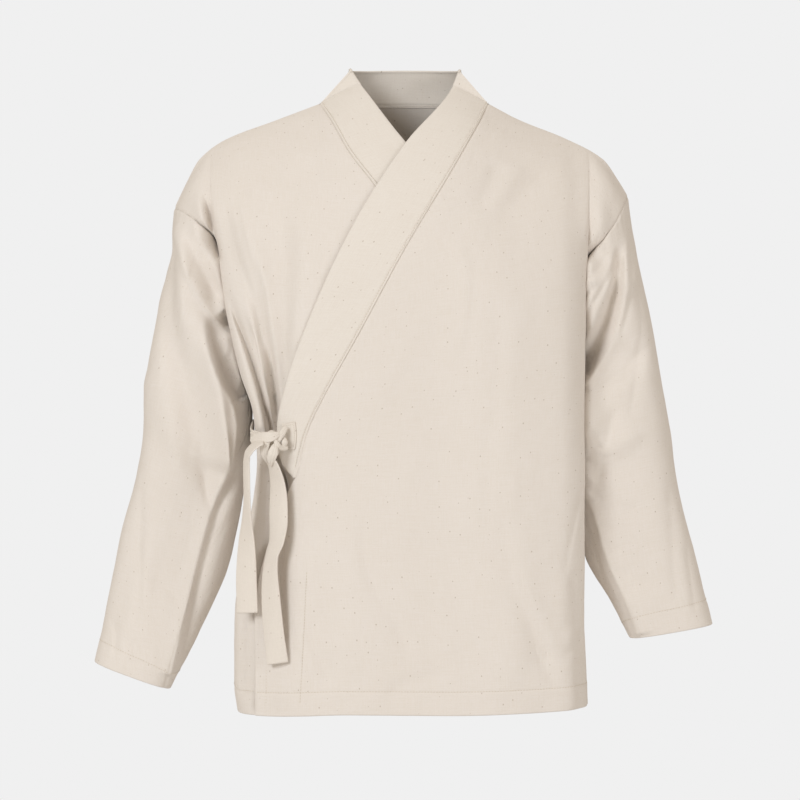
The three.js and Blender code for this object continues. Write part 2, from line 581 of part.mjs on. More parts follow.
/** A sleeve: its first row is the armhole, its last the cuff, and its columns meet the body's rows. */
function sleeveGrid(side, table, folds) {
  const ring = tracks(table, 'z', ['out', 'y', 'half', 'depth', 'tilt', 'turn']);
  const cuffZ = table.at(-1).z;
  const topZ = table[0].z;
  /** The tube's point at a height of its middle line and an angle, 0 outside and 90 in front. */
  const tube = (z, degrees) => {
    const angle = degToRad(degrees);
    const power = 2 / SLEEVE_ROUND;
    const across = ring.half(z) * Math.sign(Math.cos(angle)) * Math.pow(Math.abs(Math.cos(angle)), power);
    const ahead = ring.depth(z) * Math.sign(Math.sin(angle)) * Math.pow(Math.abs(Math.sin(angle)), power);
    const tilt = degToRad(ring.tilt(z));
    const out = ring.out(z) + across * Math.cos(tilt);
    return point(side.sign * out, ring.y(z) - ahead, z + across * Math.sin(tilt));
  };
  const around = [
    ...counted(TURNS).map((turn) => ({ turn, hole: side.front, degrees: 180 * turn })),
    ...counted(TURNS).slice(1, -1).map((t) => ({ turn: 1 - t, hole: side.back, degrees: 180 + 180 * t })),
  ];
  return counted(SLEEVE_ROWS).map((step) =>
    around.map(({ turn, hole, degrees }) => {
      const seam = point(side.sign * hole.out(turn), hole.y(turn), hole.z(turn));
      if (step === 0) return seam;
      const down = Math.pow(step, 0.92);
      const z = lerp(Math.min(seam.z, topZ), cuffZ, down);
      const twist = -ring.turn(z) * smooth(down, 0.02, 0.3);
      const place = tube(z, degrees + twist);
      const first = tube(Math.min(seam.z, topZ), degrees);
      const hold = 1 - smooth(down, 0, SEAM_REACH);
      place.addScaledVector(seam.clone().sub(first), hold);
      const facing = place.clone().sub(point(side.sign * ring.out(z), ring.y(z), place.z)).normalize();
      let rise = 0;
      for (const fold of folds) {
        const share = clamp((down - fold.down0) / (fold.down1 - fold.down0), 0, 1);
        const gap = degrees + twist - lerp(fold.at0, fold.at1, share);
        const away = (Math.abs(((gap + 540) % 360) - 180) * Math.PI * ring.half(z)) / 180;
        const past = Math.max(fold.down0 - down, down - fold.down1, 0) * 560;
        rise += fold.rise * Math.exp(-(away * away + past * past) / (fold.half * fold.half));
      }
      place.addScaledVector(facing, rise * smooth(down, 0.01, 0.08) * (1 - smooth(down, 0.9, 1)));
      const held = Math.max(sideOut(side, place.y, place.z) + SLEEVE_CLEAR, side.sign * place.x);
      place.x = lerp(place.x, side.sign * held, smooth(down, 0, 0.04));
      return place;
    }),
  );
}
const sleeveLeft = sleeveGrid(LEFT, LEFT_SLEEVE, LEFT_SLEEVE_FOLDS);
const sleeveRight = sleeveGrid(RIGHT, RIGHT_SLEEVE, RIGHT_SLEEVE_FOLDS);

// ================= ties =================
/** A hanging end: two points a row, the band's left and right edges, turned by how wide it shows. */
function tail(table) {
  const columns = tracks(table, 'z', ['x', 'y', 'shows', 'lean']);
  return counted(table.length * 2).map((t) => {
    const z = lerp(table[0].z, table.at(-1).z, t);
    const middle = point(columns.x(z), columns.y(z), z);
    const across = Math.min(columns.shows(z) / TIE_WIDTH, 0.999);
    const half = point(across, Math.sin(Math.acos(across)), 0).multiplyScalar(TIE_WIDTH / 2);
    const lean = point(0, 0, columns.lean(z) / 8);
    return [-1, 0, 1].map((s) => middle.clone().addScaledVector(half, s).addScaledVector(lean, s));
  });
}

/** A stitched root: three points a row, up its height, each placed by `place` from a table's row. */
function root(table, place) {
  return table.map((row) => [row.half, 0, -row.half].map((up) => place(row, row.z + up)));
}
const onCollar = ({ x }, z) => bodyPoint(x, z, -1, OVER_FOLDS, overLift(x, z) + TIE_WALL + ROOT_SEAT);
const roundSide = ({ x, y }, z) => point(x, y, z);

/** The knot: a rounded lump with three crossed laps raised on it. */
function knotGeometry() {
  const shape = new THREE.SphereGeometry(1, 20, 14);
  const places = shape.getAttribute('position');
  for (let i = 0; i < places.count; i += 1) {
    const at = point(places.getX(i), places.getY(i), places.getZ(i));
    const lap = Math.cos(3.2 * (at.x * 0.9 + at.z * 0.7)) * 0.08 * (1 - at.y * at.y * 0.3);
    const size = 1 + lap;
    places.setXYZ(i, at.x * size * KNOT.half, at.y * size * KNOT.depth, at.z * size * KNOT.height);
  }
  return shape;
}

// ================= walls =================
const keyOf = (at) => [at.x, at.y, at.z].map((v) => Math.round(v * 50)).join();

/** Cloth normals shared by every panel that meets at a point, so that their walls end face to face. */
function clothNormals(panels) {
  const sums = new Map();
  for (const { grid, flip, ring } of panels) {
    const width = grid[0].length;
    const last = ring ? width : width - 1;
    for (let j = 0; j + 1 < grid.length; j += 1) {
      for (let i = 0; i < last; i += 1) {
        const next = (i + 1) % width;
        const corners = [grid[j][i], grid[j][next], grid[j + 1][next], grid[j + 1][i]];
        const one = corners[2].clone().sub(corners[0]);
        const two = corners[3].clone().sub(corners[1]);
        const normal = one.cross(two).multiplyScalar(flip ? -1 : 1);
        corners.forEach((corner) => {
          const key = keyOf(corner);
          if (!sums.has(key)) sums.set(key, point(0, 0, 0));
          sums.get(key).add(normal);
        });
      }
    }
  }
  return (at) => sums.get(keyOf(at)).clone().normalize();
}

/** The places on a grid's border, each with its two neighbours along it and the next place inside it. */
function borderOf({ grid, ring }) {
  const [bottom, right] = [grid.length - 1, grid[0].length - 1];
  const wrap = (i) => (ring ? (i + right + 1) % (right + 1) : clamp(i, 0, right));
  const places = [];
  for (let i = 0; i <= right; i += 1) {
    places.push([0, i, [0, wrap(i - 1)], [0, wrap(i + 1)], [1, i]]);
    places.push([bottom, i, [bottom, wrap(i - 1)], [bottom, wrap(i + 1)], [bottom - 1, i]]);
  }
  for (let j = 0; j <= bottom && !ring; j += 1) {
    const [above, below] = [Math.max(j - 1, 0), Math.min(j + 1, bottom)];
    places.push([j, 0, [above, 0], [below, 0], [j, 1]]);
    places.push([j, right, [above, right], [below, right], [j, right - 1]]);
  }
  return places;
}

/**
 * The outer and inner points of a wall. Its border is drawn in by half the gap of a seam. At a seam that
 * lies in a crease the wall ends square to its own panel, so that it keeps clear of the other one.
 */
function wallFaces(panel, normalAt) {
  const { grid, ring, wall, onRidge } = panel;
  const ownNormal = clothNormals([panel]);
  const outer = grid.map((row) => row.map((at) => at.clone()));
  const normals = grid.map((row) => row.map(normalAt));
  for (const [j, i, before, after, next] of borderOf(panel)) {
    const own = ownNormal(grid[j][i]);
    const along = grid[after[0]][after[1]].clone().sub(grid[before[0]][before[1]]);
    const towards = grid[next[0]][next[1]].clone().sub(grid[j][i]);
    const inward = along.cross(own).normalize();
    inward.multiplyScalar(Math.sign(inward.dot(towards)));
    outer[j][i].addScaledVector(inward, SEAM_GAP / 2);
    normals[j][i].lerp(own, smooth(normals[j][i].dot(inward), 0.02, 0.3)).normalize();
    if (onRidge && onRidge(j, i)) normals[j][i].setY(0).normalize();
  }
  if (ring) outer[0].forEach((at) => at.setX(at.x + Math.sign(at.x) * SEAM_GAP)); // off the body's side
  const inner = outer.map((row, j) => row.map((at, i) => at.clone().addScaledVector(normals[j][i], -wall)));
  return [outer, inner];
}

/** The wall's closed mesh: outer face, inner face and the border between them. */
function wallGeometry(panel, normalAt) {
  const { grid, flip, ring } = panel;
  const width = grid[0].length;
  const [outer, inner] = wallFaces(panel, normalAt);
  const points = [...outer.flat(), ...inner.flat()];
  const count = grid.length * width;
  const faces = [];
  const quad = (a, b, c, d) => faces.push(...(flip ? [a, c, b, a, d, c] : [a, b, c, a, c, d]));
  const at = (j, i) => j * width + (i % width);
  const last = ring ? width : width - 1;
  for (let j = 0; j + 1 < grid.length; j += 1) {
    for (let i = 0; i < last; i += 1) {
      const around = [at(j, i), at(j, i + 1), at(j + 1, i + 1), at(j + 1, i)];
      const [one, two] = [0, 1].map((k) => points[around[k]].distanceTo(points[around[k + 2]]));
      const [a, b, c, d] = one <= two ? around : [...around.slice(1), around[0]];
      quad(a, b, c, d);
      quad(count + a, count + d, count + c, count + b);
    }
  }
  const border = (a, b) => quad(b, a, count + a, count + b);
  for (let i = 0; i < last; i += 1) {
    border(at(0, i), at(0, i + 1));
    border(at(grid.length - 1, i + 1), at(grid.length - 1, i));
  }
  if (!ring) {
    for (let j = 0; j + 1 < grid.length; j += 1) {
      border(at(j + 1, 0), at(j, 0));
      border(at(j, width - 1), at(j + 1, width - 1));
    }
  }
  const geometry = new THREE.BufferGeometry().setFromPoints(points);
  geometry.setIndex(faces);
  geometry.computeVertexNormals();
  return geometry;
}

// ================= the juban =================
const calico = new THREE.MeshStandardMaterial({ color: 0xe6ddcd, roughness: 0.92, metalness: 0 });
const bandCalico = new THREE.MeshStandardMaterial({ color: 0xe4dac9, roughness: 0.92, metalness: 0 });
const tieCalico = new THREE.MeshStandardMaterial({ color: 0xe8e0d2, roughness: 0.9, metalness: 0 });

const topRow = (j) => j === 0;
const outsideNeck = (j, i) => j === 0 && Math.abs(back[0][i].x) > NECK_HALF + 1;
const PANELS = [
  { name: 'front_over', grid: frontOver, flip: true, wall: CLOTH_WALL, onRidge: topRow, material: calico },
  { name: 'front_under', grid: frontUnder, wall: CLOTH_WALL, onRidge: topRow, material: calico },
  { name: 'back', grid: back, flip: true, wall: CLOTH_WALL, onRidge: outsideNeck, material: calico },
  { name: 'sleeve_left', grid: sleeveLeft, ring: true, wall: CLOTH_WALL, material: calico },
  { name: 'sleeve_right', grid: sleeveRight, flip: true, ring: true, wall: CLOTH_WALL, material: calico },
  { name: 'collar', grid: collar, flip: true, wall: COLLAR_WALL, material: bandCalico },
  { name: 'tail_over', grid: tail(OVER_TAIL), wall: TIE_WALL, material: tieCalico },
  { name: 'tail_side', grid: tail(SIDE_TAIL), wall: TIE_WALL, material: tieCalico },
  { name: 'tie_over', grid: root(OVER_ROOT, onCollar), flip: true, wall: TIE_WALL, material: tieCalico },
  { name: 'tie_side', grid: root(SIDE_ROOT, roundSide), wall: TIE_WALL, material: tieCalico },
];

const juban = new THREE.Group();
juban.name = 'juban';
const normalAt = clothNormals(PANELS);
for (const panel of PANELS) {
  const mesh = new THREE.Mesh(wallGeometry(panel, normalAt), panel.material);
  mesh.name = panel.name;
  juban.add(mesh);
}
const knot = new THREE.Mesh(knotGeometry(), tieCalico);
knot.name = 'knot';
knot.position.set(KNOT.x, KNOT.y, KNOT.z);
juban.add(knot);

export default juban;
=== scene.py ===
"""A juban: a wrap-front jacket of undyed cotton calico, filled out as it is worn, with nobody in it.

Sizes in the tables are millimetres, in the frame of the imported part: +Z up, +X the wearer's left, the
front facing -Y. Every panel is a surface worked out on a grid, given the thickness of its cloth.
"""
import logging
import math
from dataclasses import dataclass, field
from enum import Enum
from typing import Callable, Iterable, Optional, Sequence

import bpy
import numpy as np
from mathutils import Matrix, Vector


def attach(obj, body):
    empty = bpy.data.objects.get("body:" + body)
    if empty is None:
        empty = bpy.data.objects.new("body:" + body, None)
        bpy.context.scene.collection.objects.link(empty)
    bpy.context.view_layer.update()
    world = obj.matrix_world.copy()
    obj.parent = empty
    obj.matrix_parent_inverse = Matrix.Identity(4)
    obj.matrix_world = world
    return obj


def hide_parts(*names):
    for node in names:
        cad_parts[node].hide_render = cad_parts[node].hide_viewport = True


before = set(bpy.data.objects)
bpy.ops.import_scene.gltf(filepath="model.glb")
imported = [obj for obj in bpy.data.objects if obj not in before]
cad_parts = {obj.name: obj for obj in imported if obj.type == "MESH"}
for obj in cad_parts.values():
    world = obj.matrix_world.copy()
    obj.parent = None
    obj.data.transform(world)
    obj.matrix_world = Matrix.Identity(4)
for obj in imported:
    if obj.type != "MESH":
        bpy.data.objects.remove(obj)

log = logging.getLogger("juban")
Array = np.ndarray
MM = 0.001


# ---- numbers and curves ----
def smooth(value: Array, low: float = 0.0, high: float = 1.0) -> Array:
    """A smooth step: 0 up to low, 1 from high on, 3t^2 - 2t^3 between them.

    Args:
        value: where it is read.
        low: the value at which the step starts.
        high: the value at which it ends.

    Returns:
        The step, between 0 and 1.
    """
    t = np.clip((np.asarray(value, float) - low) / (high - low), 0.0, 1.0)
    return t * t * (3.0 - 2.0 * t)


def lerp(start: Array, end: Array, share: Array) -> Array:
    """The value at a share of the way from start to end."""
    return start + (end - start) * share


def unit(vectors: Array) -> Array:
    """The vectors of the last axis, each divided by its length."""
    return vectors / np.maximum(np.linalg.norm(vectors, axis=-1, keepdims=True), 1e-12)


def stack(x: Array, y: Array, z: Array) -> Array:
    """Points whose last axis is x, y, z, each part spread to the common shape."""
    return np.stack(np.broadcast_arrays(x, y, z), axis=-1).astype(float)


def spread(count: int, extra: Iterable[float] = ()) -> Array:
    """Even shares from 0 to 1 with some further ones put in between, in order."""
    return np.unique(np.round(np.concatenate([np.linspace(0, 1, count + 1), list(extra)]), 6))


class Track:
    """A smooth curve through a table's rows that never overshoots them (a monotone cubic)."""

    def __init__(self, at: Sequence[float], of: Sequence[float]) -> None:
        """Sorts the rows and gives each the harmonic mean of the slopes beside it."""
        order = np.argsort(at)
        self.at, self.of = np.asarray(at, float)[order], np.asarray(of, float)[order]
        slope = np.diff(self.of) / np.diff(self.at)
        before, after = slope[:-1], slope[1:]
        same_way = before * after > 0
        total = np.where(same_way, before + after, 1.0)
        middle = np.where(same_way, 2 * before * after / total, 0.0)
        self.tangent = np.concatenate([slope[:1], middle, slope[-1:]])

    def __call__(self, value: Array) -> Array:
        """The curve's height at each value; outside the table it stays level."""
        x = np.clip(value, self.at[0], self.at[-1])
        i = np.clip(np.searchsorted(self.at, x, side="right") - 1, 0, len(self.at) - 2)
        span = self.at[i + 1] - self.at[i]
        t = (x - self.at[i]) / span
        rest = 1.0 - t
        ends = self.of[i] * (1 + 2 * t) * rest**2 + self.of[i + 1] * t**2 * (3 - 2 * t)
        return ends + span * t * rest * (self.tangent[i] * rest - self.tangent[i + 1] * t)


def tracks(rows: Sequence[Sequence[float]]) -> list[Track]:
    """One track for each further column of a table, read at its first column."""
    columns = np.asarray(rows, float).T
    return [Track(columns[0], column) for column in columns[1:]]


def smoothed(knots: Array, count: int, places: int = 3) -> tuple[Array, Array]:
    """A path's rows as a smooth run of even steps.

    Args:
        knots: the rows, coordinates first.
        count: points of the run.
        places: how many columns are coordinates.

    Returns:
        The length up to each point, and the run's rows.
    """
    at = np.concatenate([[0.0], np.cumsum(np.linalg.norm(np.diff(knots[:, :places], axis=0), axis=1))])
    fine = np.linspace(0, at[-1], count)
    return fine, np.stack([Track(at, column)(fine) for column in knots.T], axis=-1)


def rumple(u: Array, v: Array, size: float, seed: int) -> Array:
    """Soft random hills: a seeded lattice of heights, joined by smooth steps, from -1 to 1.

    Args:
        u: first coordinate, in millimetres.
        v: second coordinate, in millimetres.
        size: distance between the lattice's points.
        seed: start of the random numbers.

    Returns:
        The height at each place.
    """
    count = 97  # points along a side of the lattice, which starts again after them
    lattice = np.random.default_rng(seed).uniform(-1, 1, (count, count))
    i, j = np.floor(u / size), np.floor(v / size)
    s, t = smooth(u / size - i), smooth(v / size - j)
    i, j = i.astype(int), j.astype(int)
    corner = [[lattice[(i + a) % count, (j + b) % count] for b in (0, 1)] for a in (0, 1)]
    return lerp(lerp(corner[0][0], corner[1][0], s), lerp(corner[0][1], corner[1][1], s), t)


# ---- sizes of the jacket ----
CLOTH_WALL, COLLAR_WALL, TIE_WALL = 1.5, 2.2, 1.8
OVERLAP_LIFT = 5.0
UNDERARM_Z, COLLAR_END_Z, HEM_Z = -324.0, -446.0, -723.0
TURNS, ROWS_TO_COLLAR_END, ROWS_TO_HEM = 12, 4, 9
FINE = 8  # rows and columns of cloth for each one of the frame's
NECK_HALF, NECK_DOME, NECK_BACK, NECK_BACK_RISE = 101.0, 33.0, 44.0, 2.0
# the collar's free edge round the neck: its ends in x, its height there, and how far it goes back and up
BAND_RIGHT, BAND_LEFT, BAND_Z, BAND_BACK, BAND_RISE = -64.0, 66.0, 40.0, 58.0, 5.0
RIDGE_Y, FRONT_ARCH, BACK_ARCH, ARCH_ROUND = 5.0, 245.0, 170.0, 1.2
SECTION_ROUND, SLEEVE_ROUND, SLEEVE_CLEAR, SEAM_REACH = 2.9, 2.75, 3.2, 0.34
SEAM_TUCK = 3.0  # how much of the seam's turnings is made, inside the jacket
HEM_DEPTH = 27.0  # from the hem, or the cuff, up to its line of stitches
SIDE_SHARES = spread(3 * FINE, (0.94, 0.97, 0.985, 0.994))
EDGE_SHARES = (0.002, 0.004, 0.0065, 0.01, 0.015)  # close columns at a front's inner edge
OVER_COLUMNS, UNDER_COLUMNS = 16, 15
GATHERED = range(98, 118)  # the under front's fine columns that the side tie draws together
ARMHOLE_MIDDLE = (235.0, 8.0, -210.0)
SLEEVE_LENGTH = 560.0
COLLAR_STITCHES = 3.7  # from the collar's seam to its line of stitches
HIPS = (520.0, 560.0)  # how far down the body widens again


@dataclass(frozen=True)
class Side:
    """One side's shoulder line and armhole.

    ridge holds (out from the middle, height); the holes hold (turn round the armhole, out, y, z).
    """

    sign: int
    ridge: tuple
    front_hole: tuple
    back_hole: tuple

    @property
    def left(self) -> bool:
        """Whether this is the wearer's left side."""
        return self.sign > 0


LEFT = Side(
    sign=1,
    ridge=((NECK_HALF, 0), (137, -19), (196, -43), (239, -67), (257, -92), (269, -112)),
    front_hole=(
        (0.0, 269, 6, -112), (0.2, 263, -28, -123), (0.35, 253, -48, -142), (0.5, 237, -58, -164),
        (0.62, 216, -45, -190), (0.8, 204, -24, -246), (1.0, 196, 8, UNDERARM_Z),
    ),
    back_hole=(
        (0.0, 269, 6, -112), (0.2, 265, 38, -123), (0.35, 257, 60, -140), (0.5, 244, 72, -160),
        (0.62, 228, 70, -184), (0.8, 209, 48, -244), (1.0, 196, 8, UNDERARM_Z),
    ),
)
RIGHT = Side(
    sign=-1,
    ridge=((NECK_HALF, 0), (154, -20), (216, -44), (246, -67), (260, -92), (276, -126)),
    front_hole=(
        (0.0, 276, 6, -126), (0.2, 269, -30, -129), (0.35, 257, -50, -136), (0.5, 243, -60, -147),
        (0.62, 223, -47, -166), (0.8, 206, -25, -238), (1.0, 193, 6, UNDERARM_Z),
    ),
    back_hole=(
        (0.0, 276, 6, -126), (0.2, 271, 38, -131), (0.35, 262, 60, -142), (0.5, 248, 72, -158),
        (0.62, 230, 70, -182), (0.8, 208, 48, -242), (1.0, 193, 6, UNDERARM_Z),
    ),
)
# z, half width left, half width right, how far the fold edge and the middle stand from the side seam
FRONT_SECTIONS = (
    (0, 221, 235, 106, 118), (-60, 221, 232, 106, 120), (-120, 219, 229, 105, 123),
    (-150, 218, 226, 92, 125), (-185, 217, 220, 66, 126), (-255, 215, 210, 52, 127),
    (-324, 214, 194, 54, 125), (-375, 213, 178, 58, 121), (-430, 213, 174, 60, 118),
    (-520, 213, 186, 58, 117), (-610, 213, 201, 50, 118), (-690, 216, 201, 46, 119),
    (-730, 217, 196, 46, 119),
)
BACK_SECTIONS = (
    (0, 222, 236, 90, 98), (-60, 222, 233, 98, 106), (-120, 222, 230, 98, 114),
    (-150, 221, 227, 92, 116), (-185, 218, 222, 74, 118), (-255, 208, 208, 60, 115),
    (-324, 200, 192, 56, 108), (-430, 190, 172, 52, 100), (-520, 198, 182, 52, 104),
    (-620, 213, 199, 52, 110), (-740, 217, 195, 52, 114),
)
SIDE_SEAM = (
    (UNDERARM_Z, 196, 193, 7), (-375, 188, 178, 9), (-430, 184, 168, 10), (-520, 197, 180, 8),
    (-620, 214, 199, 4), (-740, 220, 196, 0),
)
HEM_LINE = ((-202, 7), (-194, -1), (-160, -2), (-60, 1), (60, 0), (140, 2), (217, 6))
# seam z, seam x, free edge x, free edge z
OVER_BAND = (
    (0, NECK_HALF, 66, 40), (-19, 92, 54, 12), (-81, 59, 3, -51), (-180, 1, -57, -147),
    (-271, -48, -101, -241), (-356, -94, -135, -336), (-394, -111, -145, -388),
    (-420, -118, -144, -412), (-436, -121.6, -140.5, -430), (COLLAR_END_Z, -124, -131, -443),
)
UNDER_BAND = (
    (0, -NECK_HALF, -64, 41), (-21, -88, -46, 14), (-63, -65, -13, -33), (-109, -31, 19, -74),
    (-183, 15, 67, -152), (-276, 71, 122, -246), (-356, 110, 152, -338), (-410, 128, 162, -398),
    (COLLAR_END_Z, 137, 144, -442),
)
OVER_EDGE = (
    (COLLAR_END_Z, -124), (-457, -130), (-477, -141), (-516, -154), (-536, -162), (-574, -169),
    (-604, -172), (-740, -172),
)
UNDER_EDGE = ((COLLAR_END_Z, 137), (-540, 160), (-740, 168))
# z and x of the two lines of stitches down the over front, from the foot up, and their points
INNER_STITCHES, INNER_POINTS = ((-712, -121.5), (-640, -117.5), (-556, -113.5)), 80
EDGE_STITCHES, EDGE_POINTS = ((-712, -161.5), (-606, -160.5)), 60


@dataclass(frozen=True)
class Fold:
    """A fold along a line seen from the front: its rise (less than 0 for a trough) and half widths."""

    x0: float
    z0: float
    x1: float
    z1: float
    half0: float
    half1: float
    rise: float
    power: float = 2.0  # 2 is a round fold; less than 2 has a sharper crest


SHARED_FOLDS = (
    Fold(-148, -440, -151, -640, 10, 16, -14),
    Fold(-165, -640, -160, -730, 14, 20, -3),
    Fold(30, -250, 60, -700, 30, 40, -4),
    Fold(110, -200, 128, -690, 26, 36, 4),
    Fold(-60, -480, -40, -730, 24, 34, 3),
    Fold(-115, -520, -112, -730, 20, 26, 3),
)
OVER_FOLDS = (
    *SHARED_FOLDS,
    Fold(182, -560, 192, -730, 16, 20, 4),
)
UNDER_FOLDS = (
    *SHARED_FOLDS,
    Fold(-196, -262, -160, -400, 13, 8, -15),
    Fold(-150, -150, -150, -400, 26, 9, -13),
    Fold(-176, -150, -156, -400, 22, 8, 7),
    Fold(-108, -110, -132, -300, 24, 16, 4),
    Fold(-159, -424, -172, -610, 10, 10, -22),
    Fold(-187, -590, -186, -700, 10, 11, -7),
)
BACK_FOLDS = (
    Fold(0, -160, -12, -720, 34, 44, -5),
    Fold(96, -200, 84, -720, 28, 34, 5),
    Fold(-104, -190, -88, -720, 28, 34, 5),
    Fold(-60, -260, -140, -420, 22, 18, -6),
    Fold(150, -230, 158, -700, 20, 28, -6),
    Fold(-150, -240, -156, -700, 20, 28, -6),
)


# the drawing of the front: its unit, its middle, and the eye's x, distance and z
DRAWN, DRAWN_MIDDLE = 1.2, (400.0, 400.0)
EYE_X, EYE_AWAY, EYE_Z = -5.0, 4000.0, -356.0
CREASES_Y = -83.0  # the depth at which the creases' places are read


def drawn(places: Sequence[Sequence[float]], y: Array = CREASES_Y) -> Array:
    """Places on the drawing of the front, in its units right and down, as (x, z) at depth y.

    The drawing is in perspective: a unit is 1.2 mm at y = 0, and less in front of it.
    """
    scale = DRAWN * (1 + np.asarray(y, float) / EYE_AWAY)
    right, down = (np.asarray(places, float) - DRAWN_MIDDLE).T * scale
    return np.stack([right + EYE_X, EYE_Z - down], axis=-1)


def drawn_rows(table: Sequence[Sequence[float]]) -> Array:
    """Rows of right, down, y and a width as rows of x, y, z and the width."""
    right, down, y, width = np.asarray(table, float).T
    flat = drawn(np.stack([right, down], axis=-1), y)
    return np.stack([flat[:, 0], y, flat[:, 1], width], axis=-1)


@dataclass(frozen=True)
class Crease:
    """A crease along a path on the drawing of the front, steep on the side where the cloth tucks under.

    path holds places on the drawing, from its upper end; rise is its height at both ends, less than 0 for a
    valley; near and far are the half widths on the side of smaller and of larger x at both ends. Round the
    side of the body it fades out: it has its full height where the cloth is turn or more in front of y = 0.
    """

    path: tuple
    rise: tuple
    near: tuple
    far: tuple
    power: float = 1.6
    fade: tuple = (0.2, 0.2)
    turn: float = 24.0

    def line(self) -> Array:
        """The path as a smooth run of points."""
        knots = drawn(self.path)
        if len(knots) == 2:
            return lerp(knots[0], knots[1], np.linspace(0, 1, 9)[:, None])
        return smoothed(knots, 6 * len(knots), 2)[1]

    def height(self, x: Array, z: Array) -> Array:
        """Height of the crease at each place: rise * exp(-(d/half)^p), faded at both ends.

        Args:
            x: across the jacket.
            z: height.

        Returns:
            The crease's height, less than 0 in a valley.
        """
        line = self.line()
        start, way = line[:-1], np.diff(line, axis=0)
        size = np.sum(way**2, axis=1)
        total = np.concatenate([[0.0], np.cumsum(np.sqrt(size))])
        gap = np.stack([x, z], axis=-1)[..., None, :] - start
        share = np.clip(np.sum(gap * way, axis=-1) / size, 0, 1)
        rest = gap - share[..., None] * way
        near_by = np.argmin(np.sum(rest**2, axis=-1), axis=-1)[..., None]

        def pick(values: Array) -> Array:
            """The values of the nearest stretch of the path."""
            return np.take_along_axis(values, near_by, axis=-1)[..., 0]

        side = pick(way[:, 0] * gap[..., 1] - way[:, 1] * gap[..., 0])
        distance = np.sqrt(pick(np.sum(rest**2, axis=-1)))
        along = (pick(share * np.sqrt(size) + total[:-1])) / total[-1]
        half = np.where(side > 0, lerp(*self.far, along), lerp(*self.near, along))
        ends = smooth(along, 0, self.fade[0]) * (1 - smooth(along, 1 - self.fade[1], 1))
        return lerp(*self.rise, along) * ends * np.exp(-((distance / half) ** self.power))


def creased(creases: Sequence[Crease], grid: Array) -> Array:
    """How far the creases bring each place of a grid forward, on its front half.

    Args:
        creases: the panel's creases.
        grid: its outer points.

    Returns:
        The way forward, in millimetres.
    """
    total = np.zeros(grid.shape[:2])
    for crease in creases:
        path = drawn(crease.path)
        reach = 2.5 * max(*crease.near, *crease.far)
        low, high = path.min(axis=0) - reach, path.max(axis=0) + reach
        inside = (grid[..., 0] > low[0]) & (grid[..., 0] < high[0])
        inside &= (grid[..., 2] > low[1]) & (grid[..., 2] < high[1])
        height = crease.height(grid[..., 0][inside], grid[..., 2][inside])
        total[inside] += height * smooth(-grid[..., 1][inside], -2, crease.turn)
    return total


UNDER_CREASES = (
    Crease(((222, 196), (236, 250), (250, 290), (260, 330), (266, 372)), (-5, -12), (20, 11), (7, 4)),
    Crease(((236, 180), (246, 230), (258, 275), (266, 315), (272, 352)), (1.6, 3.4), (3, 3), (8, 6)),
    Crease(((226, 290), (236, 318), (247, 348), (256.5, 378), (262.5, 400), (269, 428), (270, 440)),
           (-8, -22), (2.8, 2.6), (4.4, 3.6), 2.0, fade=(0.25, 0.02)),
    Crease(((244, 215), (254, 260), (262, 295), (267, 335), (271.5, 370), (274.5, 400), (277, 430),
            (281, 450), (286, 470), (288, 500), (286, 530)),
           (-5, -27), (13, 5.5), (4.4, 6), 2.4, fade=(0.3, 0.15)),
    Crease(((266, 330), (271, 360), (275, 390), (278, 436)),
           (-5, -14), (5, 5), (5, 5), 3.0, fade=(0.3, 0.02)),
    Crease(((232, 330), (243, 362), (250, 390), (258, 415), (260, 432)),
           (3, 7), (8, 7), (6, 6), fade=(0.2, 0.02)),
    Crease(((259, 366), (264, 392), (268, 412)), (3, 3), (3.4, 3.4), (4, 4)),
    Crease(((240, 150), (243, 190), (246, 235)), (-1.3, -1.3), (9, 9), (7, 7), 2.0),
    Crease(((270, 150), (277, 195), (285, 240)), (-1.4, -1.2), (9, 9), (8, 8), 2.0),
    Crease(((300, 150), (322, 190), (330, 225)), (-1.6, -1.2), (12, 10), (8, 8), 2.0),
    Crease(((207, 158), (209, 190), (214, 222)), (1.5, 1.5), (3, 3), (8, 8)),
    Crease(((200, 188), (206, 204), (211, 226), (216, 246), (219, 260)), (-14, -17), (4.5, 5), (3.5, 3.5),
           fade=(0.4, 0.05)),
    Crease(((247, 600), (248, 640), (246, 680), (243, 706)), (-3, -4), (9, 9), (7, 8)),
    Crease(((257, 560), (257, 620), (257, 712)), (-1.2, -3), (3, 3), (4, 4), fade=(0.2, 0.02)),
    Crease(((262, 600), (263, 660), (262, 712)), (1, 1.6), (3, 3), (3, 3), fade=(0.2, 0.02)),
)
